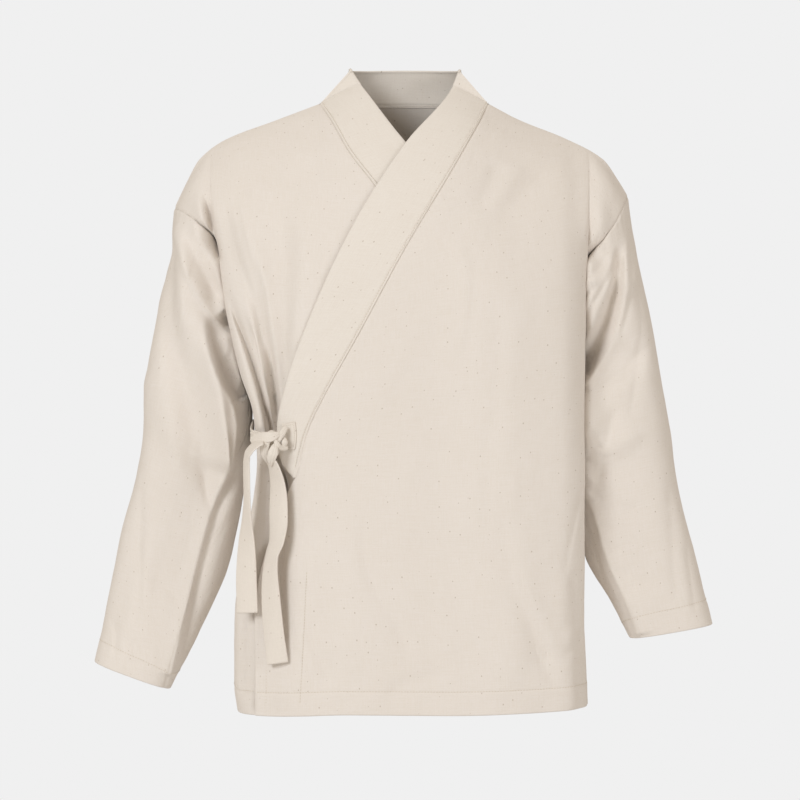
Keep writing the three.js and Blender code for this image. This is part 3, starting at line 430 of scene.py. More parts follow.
OVER_CREASES = (
    Crease(((446, 236), (462, 254), (467, 285), (464, 322), (457, 362)), (1.2, 1.8), (12, 14), (5, 5)),
    Crease(((486, 282), (497, 315), (499, 352), (491, 420), (487, 490), (488, 545)),
           (-1.6, -1.4), (10, 8), (12, 12), 2.0),
    Crease(((476, 300), (478, 350), (470, 420)), (1.0, 1.0), (8, 8), (8, 8), 2.0),
    Crease(((500, 500), (506, 552), (521, 598), (537, 634), (549, 661), (560, 680)),
           (-2.4, -6.5), (24, 14), (8, 5)),
    Crease(((516, 560), (532, 600), (547, 634), (560, 660)), (1.2, 2.0), (7, 6), (14, 12), 2.0),
    Crease(((364, 508), (363, 545), (374, 588), (391, 616), (404, 640), (413, 668)),
           (-2, -2.6), (6, 7), (13, 13)),
    Crease(((309, 610), (312, 640), (321, 662), (331, 692)), (-1.6, -2.4), (4, 4), (10, 10)),
    Crease(((384, 700), (398, 684), (420, 676), (446, 672)), (-1.6, -1.2), (9, 9), (7, 7)),
    Crease(((352, 560), (350, 620), (352, 680)), (1.1, 1.3), (14, 14), (10, 10), 2.0),
    Crease(((440, 560), (446, 620), (452, 690)), (1.0, 1.3), (16, 16), (12, 12), 2.0),
    Crease(((500, 158), (489, 186), (474, 214)), (-2.2, -1.8), (9, 9), (12, 12), 2.0),
    Crease(((546, 166), (520, 198), (494, 224)), (-2.2, -1.6), (13, 13), (12, 12), 2.0),
    Crease(((522, 160), (506, 190), (488, 216)), (1.4, 1.2), (9, 9), (9, 9), 2.0),
    Crease(((468, 158), (480, 163), (494, 160)), (-1.3, -0.8), (3, 4), (3, 4)),
    Crease(((440, 198), (454, 200), (468, 210)), (-1.4, -0.8), (3, 4), (3, 4)),
    Crease(((448, 210), (462, 218), (478, 218)), (-1.0, -0.6), (4, 4), (4, 4)),
    Crease(((586, 478), (577, 512), (570, 545), (562, 580)), (-1.4, -1.6), (3, 4), (3, 4)),
    Crease(((583, 505), (575, 535), (569, 560)), (1.0, 1.0), (3, 3), (3, 3)),
    Crease(((590, 632), (575, 646), (560, 656)), (-3.4, -2.2), (6, 6), (5, 5), fade=(0.02, 0.3)),
    Crease(((574, 566), (571, 600), (570, 636)), (-2.4, -3.0), (8, 8), (9, 9), 2.0),
    Crease(((537, 640), (542, 665), (556, 690)), (-1.4, -1.4), (4, 4), (6, 6)),
)
RIGHT_SLEEVE_CREASES = (
    Crease(((200, 188), (206, 204), (211, 226), (216, 246), (219, 260)), (-14, -12), (4.5, 3), (3.5, 3.5),
           fade=(0.4, 0.1)),
    Crease(((214, 240), (219, 264), (223, 286), (229, 318)),
           (17, 23), (12, 13), (12, 12), 2.0, fade=(0.3, 0.1)),
    Crease(((229, 322), (235, 348), (239, 370), (243, 392)),
           (12, 8), (11, 9), (14, 14), 2.0, fade=(0.2, 0.25)),
    Crease(((207, 312), (211, 335), (218, 358), (228, 380), (239, 400)), (-6, -18), (4, 4), (8, 14), 2.0,
           fade=(0.25, 0.02)),
    Crease(((220, 396), (226, 418), (228, 440), (225, 464)), (3, 4), (11, 11), (7, 7), 2.0),
    Crease(((215, 336), (221, 345), (224, 360)), (2, 2), (2.6, 2.6), (3, 3)),
    Crease(((224, 334), (226, 346), (222, 358)), (2, 2), (2.6, 2.6), (3, 3)),
    Crease(((242, 368), (238, 380), (232, 394)), (2.6, 2.6), (2.6, 2.6), (4, 4)),
    Crease(((174, 230), (179, 255), (189, 280), (203, 303), (217, 322), (230, 336)),
           (5, 8), (3.5, 3.5), (14, 13)),
    Crease(((182, 228), (194, 258), (208, 283), (223, 304)), (-5, -6), (9, 9), (8, 8)),
    Crease(((190, 222), (203, 246), (214, 268), (223, 292)), (3, 4), (4, 4), (8, 8)),
    Crease(((223, 310), (225, 318), (227, 327)), (-12, -10), (3.4, 3.4), (5, 5)),
    Crease(((201, 306), (206, 345), (212, 365), (221, 385), (232, 405), (236, 426), (234, 450), (228, 478)),
           (3, 27), (13, 21), (4, 4), 1.1, fade=(0.3, 0.1), turn=6.0),
    Crease(((236, 440), (232, 462), (222, 483), (214, 499), (196, 560), (180, 628), (168, 680)),
           (6, 6), (12, 10), (2.6, 2.4), fade=(0.12, 0.01)),
    Crease(((237, 455), (228, 484), (219, 502), (203, 556), (188, 622), (176, 680)),
           (-6, -5), (3.5, 3.5), (10, 8), fade=(0.12, 0.01)),
    Crease(((193, 172), (200, 182), (208, 196)), (-1.6, -1.6), (4, 4), (4, 4)),
    Crease(((192, 188), (199, 197), (207, 203)), (-1.4, -1.4), (4, 4), (4, 4)),
    Crease(((150, 300), (170, 340), (186, 400), (190, 460)), (-2, -1.6), (14, 14), (14, 14), 2.0),
    Crease(((139, 462), (138, 520), (137, 580), (136, 646)), (-1.6, -1.8), (6, 6), (3.5, 3.5)),
    Crease(((146, 470), (145, 560), (143, 650)), (1.2, 1.2), (9, 9), (12, 12), 2.0),
    Crease(((109, 622), (113, 640), (111, 662)), (-2.0, -1.8), (4, 4), (5, 5)),
    Crease(((128, 640), (132, 656), (130, 672)), (-1.2, -1.2), (4, 4), (4, 4)),
)
LEFT_SLEEVE_CREASES = (
    Crease(((587, 250), (588, 290), (589, 340), (588, 400), (588, 470), (590, 500)),
           (14, 10), (12, 12), (15, 15), 2.0, fade=(0.08, 0.1)),
    Crease(((587, 248), (587, 270), (588, 300), (588, 336)),
           (13, 8), (12, 12), (13, 13), 2.0, fade=(0.15, 0.3)),
    Crease(((604, 232), (596, 244), (588, 254), (583, 264)), (-9, -9), (5, 5), (3.5, 3.5)),
    Crease(((608, 246), (600, 247), (590, 254), (583, 264)), (4, 4), (4, 4), (5, 5)),
    Crease(((610, 252), (604, 263), (592, 276), (583, 287)), (-3, -4), (5, 5), (5, 5)),
    Crease(((596, 284), (589, 292), (582, 300)), (-6, -7), (5, 5), (5, 5)),
    Crease(((622, 243), (615, 265), (604, 286), (592, 306), (583, 320)), (-3, -4), (3, 3), (4, 4)),
    Crease(((612, 268), (606, 290), (596, 316), (588, 338)), (3, 6), (9, 12), (7, 7), 2.0),
    Crease(((622, 240), (620, 266), (617, 290), (611, 315), (602, 339), (592, 360), (584, 374)),
           (-9, -24), (4.6, 12), (5.4, 6), 2.4, fade=(0.2, 0.02)),
    Crease(((630, 214), (629, 260), (626, 300), (617, 336), (603, 363), (584, 387)),
           (3, 4.5), (4, 4), (9, 10), fade=(0.2, 0.02)),
    Crease(((634, 230), (634, 280), (629, 312), (620, 342)), (-2, -2), (3, 3), (4, 4)),
    Crease(((632, 212), (637, 250), (642, 290), (644, 322), (641, 352), (636, 392), (628, 432)),
           (-2.4, -2.2), (5, 5), (12, 12)),
    Crease(((660, 250), (668, 310), (668, 380)), (2.0, 2.0), (14, 14), (14, 14), 2.0),
    Crease(((618, 402), (612, 430), (605, 462), (599, 492)), (-4, -4), (8, 8), (8, 8)),
    Crease(((590, 428), (596, 438), (604, 451)), (-2, -2), (4, 4), (4, 4)),
    Crease(((600, 438), (607, 447), (609, 458)), (1.6, 1.6), (4, 4), (4, 4)),
    Crease(((585, 456), (592, 464), (600, 468)), (-2, -1.6), (4, 4), (4, 4)),
    Crease(((584, 474), (591, 479), (597, 487)), (1.8, 1.6), (4, 4), (4, 4)),
    Crease(((584, 488), (592, 497), (601, 505)), (2.6, 2.0), (4, 4), (4, 4)),
    Crease(((582, 490), (591, 504), (598, 522), (604, 545), (612, 568), (622, 590), (632, 614), (641, 640)),
           (5, 6), (2.6, 2.4), (12, 14), fade=(0.06, 0.01)),
    Crease(((578, 496), (584, 512), (590, 530), (597, 552), (605, 575), (615, 597), (626, 622), (634, 645)),
           (-4, -5), (8, 8), (3.5, 3.5), fade=(0.06, 0.01)),
    Crease(((634, 498), (632, 530), (634, 560), (638, 585)), (-2.6, -2.0), (11, 11), (10, 10), 2.0),
    Crease(((600, 522), (609, 530), (616, 533)), (-1.3, -1.0), (4, 4), (4, 4)),
    Crease(((608, 545), (617, 551), (625, 552)), (-1.3, -1.0), (4, 4), (4, 4)),
    Crease(((616, 572), (626, 575), (634, 580)), (-1.2, -1.0), (4, 4), (4, 4)),
    Crease(((673, 470), (675, 540), (680, 616)), (-2.0, -2.2), (7, 7), (9, 9)),
    Crease(((690, 540), (694, 580), (700, 620)), (-1.4, -1.8), (4, 4), (5, 5)),
)


# ---- the body's form ----
class BodyForm:
    """The jacket's body as two formulas, one for the front and one for the back.

    At each height the cloth follows a flattened oval, |x/half|^n + (y/depth)^n = 1, and near the
    shoulder it bends over on a rounded arch to the shoulder line.
    """

    def __init__(self) -> None:
        """Reads every table as tracks."""
        self.front = tracks(FRONT_SECTIONS)
        self.back = tracks(BACK_SECTIONS)
        self.seam_left, self.seam_right, self.seam_y = tracks(SIDE_SEAM)
        self.hem_rise = tracks(HEM_LINE)[0]
        self.ridge = {side.sign: tracks(side.ridge)[0] for side in (LEFT, RIGHT)}

    def shoulder_z(self, x: Array) -> Array:
        """Height of the shoulder line at x; inside the neck hole it rises as a low dome."""
        out = np.abs(x)
        line = np.where(x < 0, self.ridge[-1](out), self.ridge[1](out))
        return np.where(out < NECK_HALF, NECK_DOME * (1 - (out / NECK_HALF) ** 2), line)

    def back_top_z(self, x: Array) -> Array:
        """Height of the back's top edge at x: the neckline in the middle, the shoulders beside it."""
        share = np.minimum(np.abs(x) / NECK_HALF, 1.0)
        return np.where(share < 1, NECK_BACK_RISE * (1 - share**2), self.shoulder_z(x))

    def neck_push(self, x: Array, drop: Array) -> Array:
        """How far the neck pushes the back out at x, some drop below the shoulder line."""
        share = np.minimum(np.abs(x) / (NECK_HALF + 0.9 * np.maximum(drop, 0)), 1.0)
        return NECK_BACK * (1 - share**2) ** lerp(0.5, 1.3, smooth(drop, 0, 70))

    def half_at(self, z: Array, x: Array, front: bool) -> Array:
        """Half width of the body at the fold edge on x's side, at height z."""
        left, right = (self.front if front else self.back)[:2]
        return np.where(x < 0, right(z), left(z))

    def fold_rise(self, folds: Sequence[Fold], x: Array, z: Array) -> Array:
        """Sum of the folds at (x, z): a bump exp(-(d/half)^p) across each line, faded at its ends.

        Args:
            folds: the folds.
            x: across the body.
            z: height.

        Returns:
            Their height together.
        """
        rise = np.zeros(np.broadcast(x, z).shape)
        for fold in folds:
            dx, dz = fold.x1 - fold.x0, fold.z1 - fold.z0
            length = math.hypot(dx, dz)
            along = ((x - fold.x0) * dx + (z - fold.z0) * dz) / length**2
            across = np.abs((x - fold.x0) * dz - (z - fold.z0) * dx) / length
            half = lerp(fold.half0, fold.half1, np.clip(along, 0, 1))
            ends = smooth(along, -0.12, 0.2) * (1 - smooth(along, 0.88, 1.1))
            rise = rise + fold.rise * ends * np.exp(-((across / half) ** fold.power))
        return rise

    def point(self, x: Array, z: Array, front: bool, folds: Sequence[Fold], lift: Array = 0.0) -> Array:
        """Points of the body at x and z.

        Args:
            x: across the body.
            z: height.
            front: the front's surface, otherwise the back's.
            folds: the folds that lie on it.
            lift: how far the cloth stands off the surface.

        Returns:
            The points, in millimetres.
        """
        x, z = np.broadcast_arrays(np.asarray(x, float), np.asarray(z, float))
        edge, depth = (self.front if front else self.back)[2:]
        forward = -1.0 if front else 1.0
        half = self.half_at(z, x, front)
        share = np.minimum(np.abs(x) / half, 1.0)
        bulge = (1 - share**SECTION_ROUND) ** (1 / SECTION_ROUND)
        drop = self.shoulder_z(x) - z
        t = np.clip(drop / (FRONT_ARCH if front else BACK_ARCH), 0, 1)
        arch = (1 - (1 - t) ** 2) ** (1 / ARCH_ROUND)
        ridge = RIDGE_Y + (0.0 if front else self.neck_push(x, drop))
        y = lerp(ridge, forward * lerp(edge(z), depth(z), bulge), arch)
        away = self.fold_rise(folds, x, z) * smooth(drop, 10, 90) * (1 - smooth(share, 0.86, 1))
        turn = math.pi / 2 * share**3 * np.sign(x)
        facing = stack(np.sin(turn), forward * np.cos(turn), 0.0)
        return stack(x, y, z) + facing * np.asarray(away + lift)[..., None]

    def side_out(self, side: Side, y: Array, z: Array) -> Array:
        """How far out the body's side stands at y and z, below the arm.

        Args:
            side: which side.
            y: depth.
            z: height.

        Returns:
            The distance from the middle.
        """
        seam = (self.seam_left if side.left else self.seam_right)(z)
        seam_y = self.seam_y(z)
        pick = 0 if side.left else 1
        ahead = y < seam_y
        edge = np.where(ahead, self.front[2](z), self.back[2](z))
        half = np.where(ahead, self.front[pick](z), self.back[pick](z))
        way = np.clip(np.abs(y - seam_y) / (edge + np.sign(seam_y - y) * seam_y), 0, 1)
        return lerp(half, seam, turn_in(1 - way))


def turn_in(t: Array) -> Array:
    """How far in towards the seam the side has turned at a share of its way: 1 - (1 - t)^2.2."""
    return 1 - (1 - t) ** 2.2


FORM = BodyForm()


# ---- rows of the body's panels ----
class Rows:
    """Rows from the shoulder ridge to the hem: round the armhole first, then level ones."""

    def __init__(self) -> None:
        """Lays out the rows, with close ones at the hem's stitches."""
        turn = np.linspace(0, 1, TURNS * FINE + 1)
        waist = np.linspace(UNDERARM_Z, COLLAR_END_Z, ROWS_TO_COLLAR_END * FINE + 1)[1:]
        close = HEM_Z + np.concatenate(
            [HEM_DEPTH + np.array([-3.0, -1.4, -0.7, 0.0, 0.7, 1.4, 3.0]), [1.2, 2.4]]
        )
        even = np.linspace(COLLAR_END_Z, HEM_Z, ROWS_TO_HEM * FINE + 1)[1:]
        even = even[np.min(np.abs(even[:, None] - close), axis=1) > 0.9]
        skirt = np.sort(np.concatenate([even, close]))[::-1]
        lower = np.concatenate([waist, skirt])
        self.turn = np.concatenate([turn, np.ones(len(lower))])[:, None]
        self.fall = 1 - np.cos(self.turn * math.pi / 2)
        self.z = np.concatenate([np.full(len(turn), UNDERARM_Z), lower])[:, None]
        self.upper = (np.arange(len(self.z)) < len(turn))[:, None]
        self.waist = int(np.sum(self.z[:, 0] > COLLAR_END_Z - 0.01))
        self.hem_row = int(np.argmin(np.abs(self.z[:, 0] - (HEM_Z + HEM_DEPTH))))

    def z_at(self, x: Array, top: Callable[[Array], Array]) -> Array:
        """Height of each row at x: it follows the top edge, then runs level, and ends on the hem."""
        settle = smooth(-self.z, -COLLAR_END_Z, -HEM_Z)
        return np.where(self.upper, lerp(top(x), UNDERARM_Z, self.fall), self.z + FORM.hem_rise(x) * settle)

    def meet(self, x_of_z: Callable[[Array], Array]) -> Array:
        """Where each row meets a line given as x for each z, found by repeated halving.

        Args:
            x_of_z: the line.

        Returns:
            The line's x on every row.
        """
        x = x_of_z(self.z)
        for _ in range(30):
            x = lerp(x, x_of_z(self.z_at(x, FORM.shoulder_z)), 0.6)
        return x


ROWS = Rows()


def evenly(curve: Callable[[Array], Array], shares: Array) -> Array:
    """Parameters at which points lie at given shares of each row's length.

    Args:
        curve: gives the rows' points at an array of parameters from 0 to 1.
        shares: shares of the length, from 0 to 1.

    Returns:
        One row of parameters for each row of the curve.
    """
    fine = 0.5 - 0.5 * np.cos(math.pi * np.linspace(0, 1, 161))
    points = curve(fine[None, :])
    steps = np.linalg.norm(np.diff(points, axis=1), axis=-1)
    length = np.concatenate([np.zeros((len(steps), 1)), np.cumsum(steps, axis=1)], axis=1)
    length /= np.maximum(length[:, -1:], 1e-9)
    row = np.arange(len(length))[:, None]
    wanted = np.clip(shares, 0, 1 - 1e-9) + row
    return np.interp(wanted.ravel(), (length + row).ravel(), np.tile(fine, len(length))).reshape(
        len(length), -1
    )


def settled(values: Array, reach: int = 6) -> Array:
    """Each column's running mean over the rows, so that nothing jumps from one row to the next."""
    padded = np.pad(values, ((reach + 1, reach), (0, 0)), mode="edge")
    total = np.cumsum(padded, axis=0)
    return (total[2 * reach + 1 :] - total[: -2 * reach - 1]) / (2 * reach + 1)


def side_strip(side: Side, front: bool, surface: Callable[[Array, Array], Array]) -> Callable:
    """The strip from the fold edge to the seam: over the arm near the shoulder, inward below it.

    Args:
        side: the side of the body.
        front: whether it belongs to the front.
        surface: the panel's surface.

    Returns:
        A function from parameters (0 at the fold edge, 1 at the seam) to points.
    """
    half_track = (FORM.front if front else FORM.back)[0 if side.left else 1]
    level = lerp(FORM.shoulder_z(np.array(220.0)), UNDERARM_Z, ROWS.fall)
    x = side.sign * half_track(np.where(ROWS.turn < 1, level, ROWS.z))
    start = surface(x, ROWS.z_at(x, FORM.shoulder_z))
    out, hole_y, hole_z = tracks(side.front_hole if front else side.back_hole)
    seam_out = (FORM.seam_left if side.left else FORM.seam_right)(ROWS.z)
    above = ROWS.turn < 1
    end = stack(
        side.sign * np.where(above, out(ROWS.turn), seam_out),
        np.where(above, hole_y(ROWS.turn), FORM.seam_y(ROWS.z)),
        np.where(above, hole_z(ROWS.turn), ROWS.z_at(side.sign * seam_out, FORM.shoulder_z)),
    )
    turn, forward = ROWS.turn, -1.0 if front else 1.0
    cap, crease = 1 - smooth(turn, 0.1, 0.66), smooth(turn, 0.3, 0.62)
    ridge = FORM.ridge[side.sign]

    def strip(t: Array) -> Array:
        """Points of the strip at parameters from 0 to 1."""
        t = t + np.zeros_like(turn)
        at = lerp(start, end, t[..., None])
        reach = np.abs(at[..., 0])
        x_at = lerp(start[..., 0], end[..., 0], lerp(t, turn_in(t), crease))
        bulge = np.sin(math.pi * t)
        over_arm = at[..., 2] + 9 * bulge * cap * (1 - turn)
        on_ridge = ridge(reach) + start[..., 2] - ridge(np.abs(start[..., 0]))
        z_at = lerp(on_ridge, over_arm, smooth(turn, 0, 1 / TURNS))
        push = forward * bulge * 8 * smooth(turn, 0, 0.3) * (1 - smooth(turn, 0.5, 0.7))
        return stack(x_at, at[..., 1] + push, z_at)

    return strip


# ---- meshes ----
@dataclass
class MeshParts:
    """Vertices, faces and the cloth coordinates of the faces' corners, ready to be joined."""

    points: Array
    quads: Array
    corners: Array  # (faces, 4, 2), metres along the threads

    @staticmethod
    def joined(parts: Sequence["MeshParts"]) -> "MeshParts":
        """Several parts as one."""
        offsets = np.cumsum([0] + [len(part.points) for part in parts[:-1]])
        return MeshParts(
            np.concatenate([part.points for part in parts]),
            np.concatenate([part.quads + o for part, o in zip(parts, offsets)]),
            np.concatenate([part.corners for part in parts]),
        )

    def object(self, name: str, material: bpy.types.Material) -> bpy.types.Object:
        """A smooth-shaded object in metres at the origin, with its cloth coordinates as a UV map.

        Args:
            name: the object's name.
            material: its finish.

        Returns:
            The object, linked to the scene.
        """
        mesh = bpy.data.meshes.new(name)
        mesh.from_pydata((self.points * MM).tolist(), [], self.quads.tolist())
        layer = mesh.uv_layers.new(name="cloth")
        layer.data.foreach_set("uv", self.corners.reshape(-1).astype(np.float32))
        mesh.materials.append(material)
        mesh.polygons.foreach_set("use_smooth", np.ones(len(mesh.polygons), bool))
        mesh.validate()
        mesh.update()
        piece = bpy.data.objects.new(name, mesh)
        bpy.context.scene.collection.objects.link(piece)
        return piece


def grid_normals(grid: Array, ring: bool = False, flip: bool = False) -> Array:
    """Unit normals of a grid: the cross product of its differences across and along.

    Args:
        grid: the points.
        ring: whether it is a tube.
        flip: turns the normals round.

    Returns:
        The normals.
    """
    if ring:
        wide = np.concatenate([grid[:, -1:], grid, grid[:, :1]], axis=1)
        across = wide[:, 2:] - wide[:, :-2]
    else:
        across = np.gradient(grid, axis=1)
    normal = unit(np.cross(across, np.gradient(grid, axis=0)))
    return -normal if flip else normal


def border_loops(rows: int, columns: int, ring: bool) -> list[Array]:
    """The grid's border as loops of (row, column, row inside, column inside), in face order.

    Args:
        rows: the grid's rows.
        columns: its columns.
        ring: whether it is a tube.

    Returns:
        The loops.
    """
    if ring:
        across = np.arange(columns)
        top = np.stack([0 * across, across, 0 * across + 1, across], axis=1)
        back = across[::-1]
        bottom = np.stack([0 * back + rows - 1, back, 0 * back + rows - 2, back], axis=1)
        return [top, bottom]
    i, j = np.arange(columns), np.arange(rows)
    places = np.concatenate(
        [
            np.stack([0 * i, i], axis=1)[:-1],
            np.stack([j, 0 * j + columns - 1], axis=1)[:-1],
            np.stack([0 * i + rows - 1, i[::-1]], axis=1)[:-1],
            np.stack([j[::-1], 0 * j], axis=1)[:-1],
        ]
    )
    inside = np.stack([np.clip(places[:, 0], 1, rows - 2), np.clip(places[:, 1], 1, columns - 2)], axis=1)
    return [np.concatenate([places, inside], axis=1)]


def shell(grid: Array, wall: Array, cloth: Array, flip: bool = False, ring: bool = False) -> MeshParts:
    """A wall of cloth: the grid as its outer face, an inner face, and half-round edges.

    Args:
        grid: outer points, rows by columns.
        wall: thickness, one number or one for each point.
        cloth: (u, v) of each point in millimetres; a ring has one column more than its points.
        flip: whether the columns run the other way round, seen from outside.
        ring: whether the last column joins the first.

    Returns:
        The closed mesh.
    """
    rows, columns = grid.shape[:2]
    normal = grid_normals(grid, ring, flip)
    thick = np.broadcast_to(np.asarray(wall, float), (rows, columns))
    inner = grid - normal * thick[..., None]
    last = columns if ring else columns - 1
    j, i = np.meshgrid(np.arange(rows - 1), np.arange(last), indexing="ij")
    corner_j = np.stack([j, j, j + 1, j + 1], axis=-1).reshape(-1, 4)
    corner_i = np.stack([i, i + 1, i + 1, i], axis=-1).reshape(-1, 4)
    outer_quads = corner_j * columns + corner_i % columns
    outer_uv = cloth[corner_j, corner_i]
    points, quads, uvs = [grid.reshape(-1, 3), inner.reshape(-1, 3)], [outer_quads], [outer_uv]
    quads.append((outer_quads + rows * columns)[:, ::-1])
    uvs.append(outer_uv[:, ::-1])
    count = 2 * rows * columns
    for loop in border_loops(rows, columns, ring):
        at, within = (loop[:, 0], loop[:, 1]), (loop[:, 2], loop[:, 3])
        away = grid[at] - grid[within]
        away = unit(away - normal[at] * np.sum(away * normal[at], axis=1, keepdims=True))
        points.append((grid[at] + inner[at]) / 2 + away * thick[at][:, None] * 0.45)
        outer_id = loop[:, 0] * columns + loop[:, 1]
        middle_id = count + np.arange(len(loop))
        count += len(loop)
        uv = cloth[at]
        for one, two in ((outer_id, middle_id), (middle_id, outer_id + rows * columns)):
            quads.append(np.stack([np.roll(one, -1), one, two, np.roll(two, -1)], axis=1))
            uvs.append(np.stack([np.roll(uv, -1, axis=0), uv, uv, np.roll(uv, -1, axis=0)], axis=1))
    faces, corners = np.concatenate(quads), np.concatenate(uvs) * MM
    if flip:
        faces, corners = faces[:, ::-1], corners[:, ::-1]
    return MeshParts(np.concatenate(points), faces, corners)


def lengths_across(grid: Array) -> Array:
    """Length along each row up to each column."""
    steps = np.linalg.norm(np.diff(grid, axis=1), axis=-1)
    return np.concatenate([np.zeros((len(grid), 1)), np.cumsum(steps, axis=1)], axis=1)


def lengths_along(grid: Array) -> Array:
    """Length along each column up to each row."""
    return lengths_across(grid.transpose(1, 0, 2)).T


def cloth_uv(grid: Array, column: int, row: int = -1) -> Array:
    """Cloth coordinates: length across from one column and length along from one row."""
    u, v = lengths_across(grid), lengths_along(grid)
    return np.stack([u - u[:, column][:, None], v - v[row][None, :]], axis=-1)


@dataclass(frozen=True)
class StitchRun:
    """A run of stitches: their spacing, length and thread, in millimetres."""

    pitch: float = 3.4
    length: float = 2.5
    radius: float = 0.34
    proud: float = 0.1

    def along(self, path: Array, normal: Array) -> MeshParts:
        """Stitches laid on a path: each a small spindle, radius r*sqrt(sin(pi s)) along its length.

        Args:
            path: points that the stitches follow.
            normal: unit normal of the cloth at each point.

        Returns:
            All the stitches as one mesh.
        """
        rings, sides = 5, 6
        steps = np.linalg.norm(np.diff(path, axis=0), axis=1)
        length = np.concatenate([[0.0], np.cumsum(steps)])
        middles = np.arange(self.pitch / 2, length[-1] - self.pitch / 2, self.pitch)
        s = np.linspace(0, 1, rings)
        at = (middles[:, None] + (s - 0.5) * self.length).ravel()
        centre = np.stack([np.interp(at, length, path[:, k]) for k in range(3)], axis=-1)
        out = unit(np.stack([np.interp(at, length, normal[:, k]) for k in range(3)], axis=-1))
        centre = centre.reshape(-1, rings, 3)
        out = out.reshape(-1, rings, 3)
        side = unit(np.cross(np.gradient(centre, axis=1), out))
        angle = np.linspace(0, 2 * math.pi, sides, endpoint=False)
        radius = self.radius * np.sqrt(np.maximum(np.sin(math.pi * s), 0.02))
        sink = self.proud + radius * 0.4
        rim = centre + out * sink[:, None]
        ring = rim[:, :, None] + radius[:, None, None] * (
            side[:, :, None] * np.cos(angle)[:, None] + out[:, :, None] * np.sin(angle)[:, None] * 0.8
        )
        n = len(ring)
        k, j, i = np.meshgrid(np.arange(n), np.arange(rings - 1), np.arange(sides), indexing="ij")
        near = (k * rings + j) * sides
        far, one, two = near + sides, i, (i + 1) % sides
        walls = np.stack([near + one, far + one, far + two, near + two], axis=-1)
        first, last = ((0, 1, 2, 3), (0, 3, 4, 5)), ((3, 2, 1, 0), (5, 4, 3, 0))
        base = (np.arange(n) * rings * sides)[:, None]
        end = base + (rings - 1) * sides
        caps = [base + np.array(q) for q in first] + [end + np.array(q) for q in last]
        quads = np.concatenate([walls.reshape(-1, 4)] + caps)
        corners = np.zeros((len(quads), 4, 2))
        return MeshParts(ring.reshape(-1, 3), quads, corners)


# ---- finishes ----
class Signal:
    """A shader value that can be written in sums and products, each adding a Math node."""

    def __init__(self, shader: "Shader", socket: bpy.types.NodeSocket) -> None:
        """Wraps one output socket of a shader."""
        self.shader, self.socket = shader, socket

    def _math(self, operation: str, *values: object) -> "Signal":
        """A Math node on these values."""
        inputs = {index: value for index, value in enumerate(values)}
        return self.shader.node("ShaderNodeMath", {"operation": operation}, inputs)

    def __add__(self, other: object) -> "Signal":
        """Sum."""
        return self._math("ADD", self, other)

    __radd__ = __add__

    def __sub__(self, other: object) -> "Signal":
        """Difference."""
        return self._math("SUBTRACT", self, other)

    def __rsub__(self, other: object) -> "Signal":
        """Difference from a number."""
        return self._math("SUBTRACT", other, self)

    def __mul__(self, other: object) -> "Signal":
        """Product."""
        return self._math("MULTIPLY", self, other)

    __rmul__ = __mul__

    def sine(self) -> "Signal":
        """Sine, of radians."""
        return self._math("SINE", self)

    def size(self) -> "Signal":
        """Absolute value."""
        return self._math("ABSOLUTE", self)

    def step(self, low: float, high: float) -> "Signal":
        """A smooth step from 0 at low to 1 at high."""
        settings = {"interpolation_type": "SMOOTHSTEP"}
        inputs = {"Value": self, "From Min": low, "From Max": high}
        return self.shader.node("ShaderNodeMapRange", settings, inputs)


class Shader:
    """A material's node tree, written as expressions."""

    def __init__(self, name: str) -> None:
        """Makes a material without nodes."""
        self.material = bpy.data.materials.new(name)
        self.material.use_nodes = True
        self.tree = self.material.node_tree
        self.tree.nodes.clear()

    def node(self, kind: str, settings: dict, inputs: dict, output: object = 0) -> Signal:
        """Adds a node.

        Args:
            kind: the node's type.
            settings: its settings, and a ramp's stops under "stops"; they are set first.
            inputs: values or signals for its sockets, by name or index.
            output: the output that the signal wraps, by name or index.

        Returns:
            The signal of that output.
        """
        made = self.tree.nodes.new(kind)
        for key, value in settings.items():
            if key == "stops":
                ramp = made.color_ramp
                for element, (place, colour) in zip((ramp.elements[0], ramp.elements[1]), value):
                    element.position, element.color = place, (*colour, 1.0)
            else:
                setattr(made, key, value)
        for key, value in inputs.items():
            if isinstance(value, Signal):
                self.tree.links.new(value.socket, made.inputs[key])
            else:
                made.inputs[key].default_value = value
        return Signal(self, made.outputs[output])

    def blend(self, factor: Signal, one: object, two: object, how: str = "MIX") -> Signal:
        """A colour Mix node from one to two."""
        settings = {"data_type": "RGBA", "blend_type": how}
        return self.node("ShaderNodeMix", settings, {0: factor, 6: one, 7: two}, 2)

    def noise(self, at: Signal, scale: float, detail: float = 2.0, rough: float = 0.5) -> Signal:
        """Noise from 0 to 1 at a place; scale is in waves a metre."""
        return self.node(
            "ShaderNodeTexNoise",
            {"noise_dimensions": "3D"},
            {"Vector": at, "Scale": scale, "Detail": detail, "Roughness": rough},
        )

    def stretched(self, at: Signal, x: float, y: float, z: float = 1.0) -> Signal:
        """A place with its axes stretched, so that a pattern on it runs along the threads."""
        return self.node("ShaderNodeMapping", {"vector_type": "POINT"}, {"Vector": at, "Scale": (x, y, z)})

    def finished(self, surface: Signal) -> bpy.types.Material:
        """The material, with the surface joined to its output."""
        end = self.tree.nodes.new("ShaderNodeOutputMaterial")
        self.tree.links.new(surface.socket, end.inputs[0])
        return self.material


def opaque(colour: Sequence[float]) -> tuple:
    """A colour with full alpha."""
    return (*colour, 1.0)


